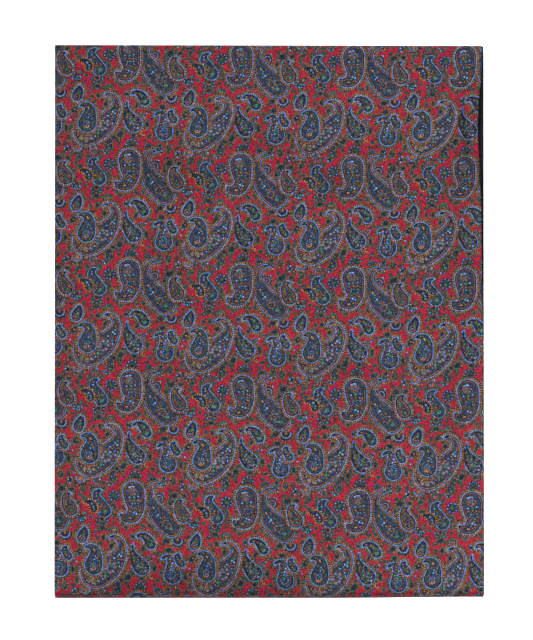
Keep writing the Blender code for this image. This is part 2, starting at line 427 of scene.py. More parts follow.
FLOWER_KINDS: dict[str, FlowerKind] = {
    "rosette": FlowerKind(8, 3.5, 0.65, 0.6, 1.1, 3.9, 0.8, -9.0, SKY, INDIGO, MOSS, OLIVE),
    "fan": FlowerKind(9, 3.9, 0.6, 0.55, 1.2, 4.2, 1.0, -0.9, SKY, TEAL, MOSS, INDIGO),
    "hoop": FlowerKind(15, 3.4, 0.4, 0.42, 0.5, 3.9, 2.8, -9.0, OCHRE, BLACK, BROWN, NAVY),
    "sprig": FlowerKind(3, 1.7, 1.35, 1.05, 0.5, 1.9, 0.6, -9.0, TEAL, OLIVE, BROWN, GREEN),
    "clover": FlowerKind(5, 2.0, 0.95, 0.85, 0.6, 2.2, 0.7, -9.0, TEAL, TAN, BROWN, MOSS),
    "floret": FlowerKind(5, 1.6, 0.5, 0.45, 0.8, 2.1, 0.5, -9.0, SKY, OCHRE, INDIGO, GREEN),
    "posy": FlowerKind(6, 2.5, 0.4, 0.35, 0.9, 3.0, 1.9, -9.0, TAN, BROWN, OCHRE, INDIGO),
    "amberet": FlowerKind(5, 1.6, 0.5, 0.45, 0.8, 2.0, 0.5, -9.0, TAN, BLACK, INDIGO, GREEN),
    "arch": FlowerKind(20, 2.7, 0.4, 0.6, 1.2, 3.6, 1.0, -0.5, GREEN, TEAL, OLIVE, OCHRE),
    "crescent": FlowerKind(24, 3.0, 0.36, 0.75, 1.3, 4.6, 0.9, -0.7, SKY, BROWN, INDIGO, OCHRE),
    "shell": FlowerKind(24, 2.8, 0.36, 0.6, 1.0, 4.9, 1.2, -0.7, SKY, INDIGO, OCHRE, OCHRE),
    "moon": FlowerKind(13, 6.1, 0.5, 0.6, 0.5, 6.9, 5.6, -0.6, TAN, BLACK, BROWN, INDIGO),
    "cup": FlowerKind(20, 1.9, 0.32, 0.5, 0.8, 2.2, 0.0, 0.0, ORANGE, BROWN, INDIGO, NAVY),
}
FLOWER_PLACES: Places = (
    ("rosette", ((41.9, 69.2, 1, 10),)),
    ("fan", (
        (32.4, 51.7, 1.03, 180), (58.3, 83.7, 1.03, 5), (70.8, 82, 0.7, 10), (17.6, 53.9, 0.95, 150),
    )),
    ("arch", ((41.2, 43.8),)),
    ("hoop", ((57.6, 62.6),)),
    ("moon", ((17.6, 81.9, 1, 180), (87.4, 37.9, 0.93, 180), (75.6, 68.4, 0.66, -50),)),
    ("shell", ((17.6, 81.9, 1.1, 180),)),
    ("crescent", ((87.5, 37.8, 1.2, 180), (75.6, 68.4, 0.78, -50),)),
    ("cup", ((3.4, 5.6, 1.1, 150),)),
    ("floret", ((24.5, 17.2, 1.1),)),
    ("posy", ((55.8, 73.1), (16.8, 37, 0.8), (79.1, 50.2, 0.85), (32.4, 51.7, 0.75),)),
    ("cup", ((24.2, 16, 1.05, 170),)),
    ("amberet", ((62, 15.4, 1, 20), (33.2, 59.6, 0.8), (67.2, 36.6, 0.9), (8.8, 59.6, 0.8),)),
    ("floret", ((59.5, 18.4), (55.8, 73.1, 0.8, 20),)),
    ("clover", ((66.4, 23.6, 0.85), (30, 79.8, 1, 20),)),
    ("sprig", ((78.8, 82, 0.9, 30),)),
    ("cup", ((67.3, 10.4, 0.95, 120),)),
)
SPOT_PLACES: Places = (
    ("husk", ((69.6, 16.9, 1, 92), (9, 13.7, 1, 92), (-0.3, 68, 0.8, 90), (61.8, 31, 0.9, 60),)),
    ("shade", (
        (9.4, 80.3, 1, 100), (39.4, 77.9, 0.8, 10), (54.2, 39.8, 0.9, 90), (79.4, 1, 0.8),
        (44.6, 7.2, 0.9, -20), (14.8, 27.4, 1.35, 60), (3.4, 73.3, 1.35, 10), (2.8, 83.8, 1.15, 60),
        (32.9, 38.3, 0.9, 80), (49.6, 9.3, 1.35, 60), (38.4, 32.4, 0.95, 60), (79.8, 36.9, 1.15),
        (81, 30.1, 1.15), (59.8, 8.6, 0.9), (32.4, 45.3, 1.1), (10.8, 73.4, 0.9),
    )),
    ("blade", (
        (85, 81.9, 1, 60), (46.8, 48.6, 0.7, 80), (74, 13.4, 0.7, 90), (34.6, 78.9, 0.8, 20),
        (24.9, 73.8, 0.75, 90), (67, 48.4, 0.9, 112), (11.6, 6.6, 1, 80), (41.9, 60.6, 1.1, 90),
    )),
    ("bud", (
        (24.2, 53.2, 0.7), (62.6, 47.7, 0.9), (50.5, 46.3, 0.9), (28.2, 37.9, 0.85, 70), (12.4, 15.3, 0.7),
        (71.4, 7.7, 0.9), (51.1, 13.6, 0.8, 20), (16.8, 69.4, 0.75), (85.6, 45, 0.6), (15.4, 64, 0.85, 90),
        (18.8, 73.9, 1.1, 10), (19.6, 67.2), (73.2, 27.9, 0.75), (54.4, 11.6, 0.7, -40),
        (35.4, 74.9, 0.8, 20),
    )),
    ("dot", (
        (10.2, 82), (8.3, 80.5), (9.3, 78.1), (12.2, 19.8, 1.1), (31.9, 81.2, 1.2, 40), (38.5, 77.4),
        (69.2, 25.3, 1.1, 90), (78.6, 72.3), (44, 26.2, 1.3), (45.6, 24.9, 1.3), (30.9, 7.7, 0.9),
        (25.6, 21.9, 0.9, 30), (53.4, 68.5), (59.9, 69.3), (56.1, 57.3, 1.2, 40), (58.1, 56.5, 1.2),
        (74.2, 56.3, 1.4, 20), (28.3, 65.3, 0.9), (57.2, 17.9, 0.8), (62.7, 14.2, 1.2), (19.7, 52.3),
        (16.5, 50.3, 0.9), (24, 15.5, 0.9), (83.2, 20.6, 1.2, 60), (82.3, 18.2, 1.1, 90),
    )),
    ("star", (
        (36.7, 19.4), (39.9, 19.2, 1.1, 60), (40.3, 16.4), (34.1, 15.2, 1.25, 60), (36.3, 12.6), (27.7, 6),
        (34.8, 17.2, 1, 90), (38.8, 13.6),
    )),
    ("sky", (
        (13.2, 24), (28.8, 77.9), (27.2, 79.6), (37, 79.3), (41, 77.8), (67.4, 22.2), (80.5, 79.7, 1.2, 60),
        (80.8, 82.6), (54.2, 41.2), (54.3, 38), (26.3, 24.1), (28.1, 21, 1, 90), (55.3, 63.9, 1, 90),
        (73, 55.1, 1.2), (72.4, 59.4, 1, 90), (77.9, 51.7), (81.4, 52.2), (28.8, 69, 1.3, 30),
        (25.2, 62.9, 1.6, -50), (53.2, 30.6, 1.1, 90), (60.2, 14.5, 1.1), (63, 16.9), (81.4, 23.6, 1.2),
        (81.9, 16.2, 1.1, 90), (81.7, 12.6, 1.1, 90), (14, 50.9), (79.7, 12.2, 1.1, 60), (81.2, 9, 1.1, 20),
        (65, 25.3, 0.8), (13.2, 3.3), (11.4, 25.3, 0.8), (36, 37.7), (59.8, 64.2), (43.4, 20.1, 1.2, 90),
        (24, 10.4, 0.7), (44.8, 34.6, 0.8, 80),
    )),
    ("bead", (
        (27.5, 81.3), (50.3, 43.8), (15.2, 27.5, 1.4), (72, 40.8), (42.8, 24.5, 1.4, -30), (41.8, 21.8),
        (29.5, 5.4), (35, 9.8), (56.8, 66.6, 1.2), (59.6, 66.4, 1.2), (54.2, 61), (58.2, 60.3, 1.2),
        (56.4, 53.8), (75.6, 54, 1.2), (82.2, 50.2), (77, 53.2), (28.8, 70.9, 1.3), (56.4, 20),
        (4.9, 24.4, 1.2, 80), (3.3, 28.6, 1.2, 90), (40.7, 83.6), (42.8, 84.8), (77.2, 72.6),
        (15.6, 54.8, 1.4, 20), (13.6, 28.9, 1, 40), (30.4, 52.6, 1.1), (34.2, 52.2), (61, 61.8), (55.4, 60),
        (64.2, 19.2), (26.4, 8.6), (18.2, 8.4, 1.3, 60), (38.6, 21.6), (45.8, 22.4), (80.2, 15.4, 1.2, 90),
        (80, 17.6, 1, 90), (61, 23), (55.2, 18.4),
    )),
    ("crumb", (
        (21.6, 8.8, 0.9, 40), (31.6, 61, 1, 30), (35.6, 61.8, 0.9, 80), (30.6, 58.6, 0.8),
        (43.6, 22.4, 0.9), (37.2, 21.6, 0.8, 30), (42.2, 17.6, 0.8, 90), (42.6, 13.6, 0.8, 60),
        (35.6, 13.8, 0.6), (46.6, 30.2, 1, 80), (33, 7.6, 0.8, 40), (52.6, 73.2, 0.8, 90),
        (59.8, 72.6, 0.8, 90), (55.6, 70.2, 0.8), (53.8, 66.2, 0.8, 40), (61.4, 66, 0.8, -40),
        (60.8, 59, 0.8, 60), (54, 58.2, 0.7, -40), (58, 54.2, 0.8), (60.2, 56, 0.7, 60), (76.2, 57.6, 0.7),
        (78.6, 54.2, 0.9, -30), (76.4, 51, 0.8, 90), (83.6, 53, 0.8), (77.2, 48.6, 0.8, 60),
        (80.4, 46.4, 0.8), (83.2, 48.6, 0.8), (74.6, 60.4, 0.7, -50), (54.6, 22.2, 0.9, 70),
        (56.4, 16.2, 0.8, 60), (61.6, 21.4, 0.8, 40), (64, 14.8, 0.7, 60), (59, 13, 0.8), (63, 12.4, 0.7),
        (54, 27, 0.8, 80), (57.6, 24.4, 0.7, 60), (66, 34.4, 0.9, 60), (69.6, 36.2, 0.8, 60),
        (63.8, 39.8, 0.9, 30), (61, 40.4, 0.7), (6.2, 61.9, 0.9, 80), (7, 66.6, 0.8, 80),
        (6.9, 57.8, 0.8, 60), (11.6, 59.6, 0.7, 60), (22.4, 13.6, 0.5), (21.6, 19.6, 0.7, 70),
        (27.2, 13.2, 0.6, 30), (29, 17.8, 0.7, 80), (24.2, 25.8, 0.7, 60), (28.8, 25.4, 0.7, 80),
        (22.6, 31.6, 0.7, 20), (18.6, 41.8, 0.7, 80), (80, 20.6, 0.9, 70), (79.6, 9.8, 0.8, 60),
        (84, 7.8, 0.8), (77.8, 14.2, 0.7, 80), (6.8, 26.4, 0.6, 60), (4.4, 21.4, 0.6), (24, 60.4, 0.7, 80),
        (30.4, 67, 0.7, 80),
    )),
    ("speck", (
        (6.9, 77.9, 1, 90), (1, 76.7), (12.8, 43), (13.2, 47.2), (40.4, 50.8, 1, 90), (84.6, 74, 1, 90),
        (76.8, 34.5), (68.8, 4.2), (47.6, 5.2), (30.4, 33.6, 1, 45), (8.8, 2, 1.2, 30), (49.2, 84.4),
        (2.4, 46.4, 0.9), (8.6, 84, 0.8), (34.2, 79, 0.8),
    )),
    ("olive", (
        (20.8, 75.4, 1.2, 30), (33.6, 76.6), (10.3, 49.7), (28.5, 47.4), (28.5, 43.7, 1.4),
        (84.2, 66.1, 1.4), (60, 49), (5.9, 65.2, 1, 90), (39.8, 63.2, 1.3, 120), (8.6, 75.6), (36.8, 48),
        (70.6, 27.2), (62.6, 6.6), (26.6, 42), (64.6, 8.2, 1, 30), (21, 55.4, 1.2, 90), (17.6, 71.6),
        (49, 4.6, 1.2), (41.4, 54.6, 1.2, 60), (8.4, 17.8, 1, 60), (17, 48.6), (22.6, 48.2), (75.6, 5, 1.2),
        (36.4, 44.2, 1.2), (12.6, 76.2, 1.1), (0.8, 70.8, 1.2, 60), (6.4, 75.9, 1.1), (26.4, 76.4, 1.2, 60),
        (70.4, 44.6, 1, 120), (73.4, 41.8, 0.9),
    )),
    ("green", (
        (7.3, 5.2, 0.7), (45.8, 27.6, 1.3, 30), (41.2, 45, 0.5), (32.8, 9.9, 1.5, 85),
        (33.2, 12.6, 1.3, 80), (57.3, 64.3, 0.9), (57.4, 58.5, 0.8), (83.4, 46.3, 1.8), (9.9, 57.4, 1.2),
        (34.9, 57.5, 1.9, 30), (30.2, 64, 0.8), (26.7, 58.7, 1.1, 60), (65.8, 38.5, 1.3, 60),
        (67.9, 34, 1.8, 45), (18.2, 39.8, 1.1, 20), (54.8, 24.3, 1, 60), (57, 21.2, 1.1),
        (83, 14.8, 1.1, 90), (6.7, 23.1), (41.7, 81.2), (37.9, 17.5, 1.4), (55.8, 73.1, 0.7),
        (24.4, 17.4, 0.9), (17.6, 52.2, 1.2), (60.6, 19.6, 0.9), (42, 69, 0.8, 30), (59.3, 17.2, 1.2, 60),
        (3.9, 26.6, 0.8), (5.8, 63.8, 0.8, 90), (72.6, 57.8, 0.8), (56.7, 68.7, 1.2), (79.1, 50.2, 0.6),
        (19.4, 56, 1.2, 30), (28.8, 27.4, 0.6, 60), (48.8, 6.6, 0.8),
    )),
    ("violet", (
        (54.8, 62.2, 1, 90), (59.9, 62, 1, 90), (57, 61, 0.8), (79.6, 47.6, 1.1), (32.6, 62.8),
        (26.6, 60.8, 1.4, -60), (22.9, 18.7, 0.9), (25.9, 18.8, 0.9), (16.8, 37, 1.2), (57.8, 22.6),
        (46, 19.8), (31, 57, 1, 60), (59, 73.6, 1, 70), (41, 11.6, 1, 40), (55.2, 55.4, 0.9),
        (83.4, 23.4, 1, 40), (22.2, 16.6, 0.8, 90),
    )),
    ("brow", ((40.3, 23.2), (43.7, 17.4, 1, 90), (53.9, 76.1, 1.3, 25), (56.2, 76.6, 1.3, -5),)),
    ("amber", (
        (25.7, 28.9, 1.2, -60), (27.5, 22.8, 0.7), (53.2, 53.3, 1.1, 10), (70.9, 61.3, 1.1, -60),
        (60.2, 40.8, 0.5, 10), (78.8, 24.3, 0.9), (87.6, 38, 0.6), (67.3, 9.8, 0.7, 20),
    )),
    ("loop", ((20.5, 6.2, 1, 70), (24.2, 5.2, 1.15, 100), (83, 36, 0.7),)),
)

# How the print is laid on the mesh and in the shader.
UNDER_GROUPS = (("great", "long"), ("plain", "drop", "tall"), ("ringed", "seed"))
OVER_GROUPS = (("nested", "upright"), ("small", "beaded", "tiny"), ("drip",))
FLOWER_LAYERS = 2
SPOT_LAYERS = 3
CELL_REACH = 0.95  # half a mesh cell's diagonal, in mm
# A ramp's channels run from 0 to 1, so sizes in mm, petals and rims are shares of these.
RAMP_MM = 10.0
RAMP_PETALS = 32
RAMP_RIM = 4.0
RAMP_LOW = 0.02  # where a style's bands start and end in its part of a ramp
RAMP_SPAN = 0.97
PETAL_TICKS = 0.75  # ticks round a petal's rim, for each radian and mm of its length
PETAL_GAP = 0.55  # where in each beat the dark gap of a petal's rim starts
BLEED_MM = 0.4  # how far the inks' edges wander
FLECK_MM = 0.9
FLECK_SHARE = 0.10  # how strongly the flecks show in the inks
REDNESS = (0.30, 0.20)  # red less green: more than the first is ground, less than the second ink
BLUENESS = 0.40  # blue less red of a fully blue ink
MOTTLE_MM = 0.8
MOTTLE_GROUND = 0.6  # how uneven the ground's depth is, and how much more so the inks'
MOTTLE_INKS = 0.8
MOTTLE_LEVEL = 1.38  # brings the mottled cloth back to the inks' own depth
HUE_SPREAD = 0.55  # how much of each cell's tint is chance
FLECKS = (
    BLACK, BROWN, OLIVE, TAN, TEAL, MOSS, BLACK, OCHRE,
    NAVY, GREEN, BROWN, INDIGO,
)
TWILL_SLANT = math.radians(45)
TWILL_SCALE = 0.45  # a 0.7 mm twill: the real 0.3 mm one is too fine to show
BACKING_DARK = "16151D"
BACKING_LIGHT = "2C2B35"
WEAVE_SCALE = 520.0  # a 0.6 mm weave: the real 0.25 mm one is too fine to show


class Spot(NamedTuple):
    """One ornament on the chart, in mm, turned by degrees and sized."""

    kind: int
    across: float
    along: float
    turn: float
    size: float
    reach: float


def listed(places: Places, kinds: dict[str, SpotKind] | dict[str, FlowerKind]) -> list[Spot]:
    """Read a place table's rows of (across, along, size, turn), whose last two may be left out."""
    names = list(kinds)
    found = []
    for kind, rows in places:
        for row in rows:
            across, along, size, turn = (*row, *(1.0, 0.0)[len(row) - 2 :])
            found.append(Spot(names.index(kind), across, along, turn, size, kinds[kind].reach * size))
    return found


def squares(points: Array, others: Array) -> Array:
    """Square of the distance from each point to each other, by across^2 + along^2."""
    return (points[:, None, 0] - others[None, :, 0]) ** 2 + (points[:, None, 1] - others[None, :, 1]) ** 2


class PaisleyOutline:
    """The outline round a paisley's discs, and distances from it."""

    DISC_STEP = 0.35  # mm between discs, and between points of the outline
    POINT_STEP = 0.25
    LEAST_RADIUS = 0.1
    STEEPEST = 0.95  # how fast a radius may change along the spine
    TUCKED = 0.12  # points that lie further than this inside the discs are dropped
    BELLY_POINTS = 48
    TIP_POINTS = 9
    AT_ONCE = 20000  # places measured at a time, to spare memory

    def __init__(self, paisley: Paisley) -> None:
        """Carry the discs along a smooth spine and wrap an outline round them."""
        self.paisley = paisley
        spine = np.array(paisley.spine, float)
        self.middle = (spine[:, :2].max(0) + spine[:, :2].min(0)) / 2
        self.centres, self.radii = self._discs(spine)
        self.loop, _ = self._wrap(0.0)
        self.beads, length = self._wrap(BEADS_OUT)
        self.ticks = round(length / BEAT_MM)

    def _discs(self, spine: Array) -> tuple[Array, Array]:
        """Discs on a Catmull-Rom curve through the spine's rows."""
        rows = np.vstack([2 * spine[0] - spine[1], spine, 2 * spine[-1] - spine[-2]])
        legs = []
        for before, start, end, after in zip(rows, rows[1:], rows[2:], rows[3:]):
            count = max(2, math.ceil(np.hypot(*(end - start)[:2]) / self.DISC_STEP))
            t = (np.arange(count) / count)[:, None]
            leg = 2 * start + (end - before) * t + (2 * before - 5 * start + 4 * end - after) * t**2
            legs.append(0.5 * (leg + (3 * start - before - 3 * end + after) * t**3))
        discs = np.vstack([*legs, spine[-1:]])
        return discs[:, :2], np.maximum(discs[:, 2], self.LEAST_RADIUS)

    def _wrap(self, out: float) -> tuple[Array, float]:
        """Envelope of the discs grown by out: c + r(-r' T +/- sqrt(1 - r'^2) N), with round ends."""
        centre, radius = self.centres, self.radii + out
        tangent = np.gradient(centre, axis=0)
        pace = np.hypot(tangent[:, 0], tangent[:, 1])
        tangent = tangent / pace[:, None]
        change = np.clip(np.gradient(radius) / pace, -self.STEEPEST, self.STEEPEST)
        normal = np.stack([-tangent[:, 1], tangent[:, 0]], 1)
        back = -change[:, None] * tangent
        side = np.sqrt(1 - change**2)[:, None] * normal
        left = centre + radius[:, None] * (back + side)
        right = centre + radius[:, None] * (back - side)
        cap = self._round_end(0, radius, tangent, change, self.BELLY_POINTS)
        tip = self._round_end(-1, radius, tangent, change, self.TIP_POINTS)
        loop = np.vstack([left[::-1], cap, right, tip, left[-1:]])
        loop = loop[(np.sqrt(squares(loop, centre)) - radius[None]).min(1) > -self.TUCKED]
        closed = np.vstack([loop, loop[:1]])
        reached = np.concatenate([[0.0], np.cumsum(np.hypot(*np.diff(closed, axis=0).T))])
        even = np.linspace(0, reached[-1], int(reached[-1] / self.POINT_STEP), endpoint=False)
        across = np.interp(even, reached, closed[:, 0])
        along = np.interp(even, reached, closed[:, 1])
        return np.stack([across, along], 1), float(reached[-1])

    def _round_end(
        self, end: int, radius: Array, tangent: Array, change: Array, points: int
    ) -> Array:
        """Arc round the first disc (end 0) or the last (end -1), between the two sides."""
        heading = math.atan2(tangent[end, 1], tangent[end, 0])
        half = math.acos(np.clip(-change[end], -1, 1))
        start, sweep = (heading - half, 2 * half) if end else (heading + half, 2 * math.pi - 2 * half)
        angle = start + np.linspace(0, 1, points)[1:-1] * sweep
        return self.centres[end] + radius[end] * np.stack([np.cos(angle), np.sin(angle)], 1)

    def distance(self, points: Array) -> tuple[Array, Array]:
        """Signed distance from the outline, and how many ticks along it.

        Args:
            points: Places on the chart, as rows of across and along in mm.

        Returns:
            Distances in mm, less than 0 inside, and ticks from the outline's start.
        """
        apart = np.empty(len(points))
        ticks = np.empty(len(points))
        for start in range(0, len(points), self.AT_ONCE):
            now = slice(start, start + self.AT_ONCE)
            gap = np.sqrt(squares(points[now], self.loop).min(1))
            within = (np.sqrt(squares(points[now], self.centres)) - self.radii[None]).min(1) < 0
            apart[now] = np.where(within, -gap, gap)
            ticks[now] = squares(points[now], self.beads).argmin(1) * self.ticks / len(self.beads)
        return apart, ticks


class PrintChart:
    """Works out, corner by corner, what the print's shader needs to know."""

    def __init__(self) -> None:
        """Wrap the outlines and sort the ornaments into layers that don't touch."""
        self.repeat = np.array(REPEAT)
        self.unrepeat = np.linalg.inv(self.repeat)
        self.styles = list(BAND_STYLES)
        self.under = [PaisleyOutline(paisley) for paisley in UNDER_PAISLEYS]
        self.over = [PaisleyOutline(paisley) for paisley in OVER_PAISLEYS]
        self.flowers = self._layers(listed(FLOWER_PLACES, FLOWER_KINDS), FLOWER_LAYERS)
        self.spots = self._layers(listed(SPOT_PLACES, SPOT_KINDS), SPOT_LAYERS)

    def _layers(self, spots: list[Spot], count: int) -> list[list[Spot]]:
        """Put each ornament in the first layer above all that it touches."""
        layers: list[list[Spot]] = [[] for _ in range(count)]
        for spot in spots:
            level = 0
            for index, layer in enumerate(layers):
                for other in layer:
                    offset = self.offset(np.array([[spot.across, spot.along]]), other)
                    if np.hypot(*offset[0]) < spot.reach + other.reach + CELL_REACH:
                        level = index + 1
                        break
            layers[min(level, count - 1)].append(spot)
        return layers

    def chart(self, across: Array, along: Array) -> Array:
        """Where places of the cloth lie on the flat chart.

        The chart place is the cloth's own, less the bow of the weave, which
        has three quadratic terms each way and is held level past the part
        that shows, and plus the pull of the far left corner.

        Args:
            across: Metres from the middle, to the right.
            along: Metres from the middle, away from the front fold, and on
                by arc length over the folds.

        Returns:
            Rows of across and along, in mm.
        """
        place = np.stack([across / MM + CHART_MIDDLE[0], along / MM + CHART_MIDDLE[1]], 1)
        limit = np.array([HALF_WIDTH, HALF_LENGTH]) / MM
        held = np.clip(place, CHART_MIDDLE - limit, CHART_MIDDLE + limit)
        up = smooth_step((held[:, 1] - CHART_MIDDLE[1] - CORNER_ALONG_MM[0]) / CORNER_ALONG_MM[1])
        left = smooth_step((CORNER_ACROSS_MM[0] - held[:, 0] + CHART_MIDDLE[0]) / CORNER_ACROSS_MM[1])
        place[:, 0] += CORNER_PULL_MM * (up * left)
        u, v = ((held - np.array(BOW_MIDDLE)) / BOW_UNIT).T
        terms = np.stack([u * u, u * v, v * v])
        bow = np.stack([np.array(BOW_ACROSS) @ terms, np.array(BOW_ALONG) @ terms], 1)
        return place - bow

    def offset(self, points: Array, spot: Spot) -> Array:
        """Offsets from the nearest repeat of an ornament or middle."""
        away = points - np.array([spot.across, spot.along])
        return away - np.round(away @ self.unrepeat) @ self.repeat

    def bands(self, points: Array, faces: Array, outlines: list[PaisleyOutline]) -> Array:
        """What the bands of one layer of paisleys need at each corner.

        Each face belongs to the paisley whose outer edge it lies furthest
        inside of, or nearest to.

        Args:
            points: Chart places of the vertices, in mm.
            faces: Four vertex numbers a face.
            outlines: The layer's paisleys.

        Returns:
            Rows of (mm from the style's outer edge, ticks, style number).
        """
        edge = np.full((len(outlines), len(points)), HIDDEN, np.float32)
        ticks = np.zeros((len(outlines), len(points)), np.float32)
        for index, outline in enumerate(outlines):
            middle = Spot(0, outline.middle[0], outline.middle[1], 0, 1, 0)
            away = self.offset(points, middle)
            near = np.nonzero(np.abs(away).max(1) < PAISLEY_REACH_MM)[0]
            apart, along = outline.distance(away[near] + outline.middle)
            edge[index, near] = apart - BAND_STYLES[outline.paisley.style].reach
            ticks[index, near] = along
        yields = np.array([outline.paisley.yields for outline in outlines])[:, None]
        owner = (edge[:, faces].mean(2) + yields).argmin(0)[:, None]
        round_ticks = np.array([outline.ticks for outline in outlines])[owner]
        corner_ticks = ticks[owner, faces]
        corner_ticks = corner_ticks - round_ticks * np.round(
            (corner_ticks - corner_ticks[:, :1]) / round_ticks
        )
        styles = np.array([self.styles.index(outline.paisley.style) for outline in outlines])
        style = np.broadcast_to(styles[owner], faces.shape)
        return np.stack([edge[owner, faces], corner_ticks, style], 2).reshape(-1, 3)

    def ornaments(self, points: Array, faces: Array, layer: list[Spot]) -> Array:
        """Where each corner lies on the nearest ornament of a layer.

        Args:
            points: Chart places of the vertices, in mm.
            faces: Four vertex numbers a face.
            layer: Ornaments that don't touch.

        Returns:
            Rows of (own across, own along, kind), in mm of the ornament as
            charted, or far away where there is none.
        """
        middle = points[faces].mean(1)
        best = np.full(len(faces), 1.0)
        owner = np.full(len(faces), -1)
        away = np.zeros((len(faces), 2))
        for index, spot in enumerate(layer):
            offset = self.offset(middle, spot)
            apart = np.hypot(offset[:, 0], offset[:, 1]) - spot.reach - CELL_REACH
            closer = apart < np.minimum(best, 0.0)
            best[closer] = apart[closer]
            owner[closer] = index
            away[closer] = offset[closer]
        turn = np.radians([spot.turn for spot in layer])[owner][:, None]
        size = np.array([spot.size for spot in layer])[owner][:, None]
        kind = np.array([spot.kind for spot in layer])[owner][:, None]
        corner = points[faces] - middle[:, None] + away[:, None]
        own_across = (corner[:, :, 0] * np.cos(turn) + corner[:, :, 1] * np.sin(turn)) / size
        own_along = (corner[:, :, 1] * np.cos(turn) - corner[:, :, 0] * np.sin(turn)) / size
        found = np.stack([own_across, own_along, np.broadcast_to(kind, faces.shape)], 2)
        found[owner < 0] = (HIDDEN, HIDDEN, 0.0)
        return found.reshape(-1, 3)

    def dress(self, mesh: Mesh, points: Array, faces: Array) -> None:
        """Give a mesh, whose printed faces come first, the print's attributes."""
        corners = len(mesh.loops)
        chart = np.zeros((len(mesh.vertices), 3), np.float32)
        chart[: len(points), :2] = points
        mesh.attributes.new("chart", "FLOAT_VECTOR", "POINT").data.foreach_set("vector", chart.ravel())
        fields = {"under_bands": self.bands(points, faces, self.under)}
        fields["over_bands"] = self.bands(points, faces, self.over)
        for index, layer in enumerate(self.flowers):
            fields[f"flowers_{index}"] = self.ornaments(points, faces, layer)
        for index, layer in enumerate(self.spots):
            fields[f"spots_{index}"] = self.ornaments(points, faces, layer)
        for name, values in fields.items():
            full = np.tile(np.array([HIDDEN, HIDDEN, 0.0], np.float32), (corners, 1))
            full[: len(values)] = values
            mesh.attributes.new(name, "FLOAT_VECTOR", "CORNER").data.foreach_set("vector", full.ravel())


# ------------------------------------------------------------- the finishes


class Bench:
    """One finish's node tree, and the one way that nodes are added to it."""

    USUAL = {"Mix": {"data_type": "RGBA"}}

    def __init__(self, name: str) -> None:
        """Start an empty material."""
        self.material = bpy.data.materials.new(name)
        self.material.use_nodes = True
        self.tree = self.material.node_tree
        self.tree.nodes.clear()

    def add(
        self,
        kind: str,
        inputs: dict | None = None,
        stops: list[tuple[float, Colour]] | None = None,
        **settings: object,
    ) -> Socket:
        """Add a node with its settings and links.

        Args:
            kind: The node's type after ShaderNode, or in capitals the
                operation of a Math node.
            inputs: Values, or sockets to link, by input name or number.
            stops: Steps of a colour ramp, as positions and colours.
            **settings: The node's own properties, past the usual ones.

        Returns:
            The node's first output in use, whose node holds the others.
        """
        usual = {"operation": kind} if kind.isupper() else self.USUAL.get(kind, {})
        node = self.tree.nodes.new("ShaderNodeMath" if kind.isupper() else "ShaderNode" + kind)
        for name, value in {**usual, **settings}.items():
            setattr(node, name, value)
        if stops:
            ramp = node.color_ramp
            ramp.interpolation = "CONSTANT"
            ramp.elements.remove(ramp.elements[1])
            for index, (position, colour) in enumerate(stops):
                element = ramp.elements.new(position) if index else ramp.elements[0]
                element.position = position
                element.color = colour
        for key, value in (inputs or {}).items():
            if isinstance(value, Socket):
                self.tree.links.new(value, node.inputs[key])
            else:
                node.inputs[key].default_value = value
        return next((output for output in node.outputs if output.enabled), None)


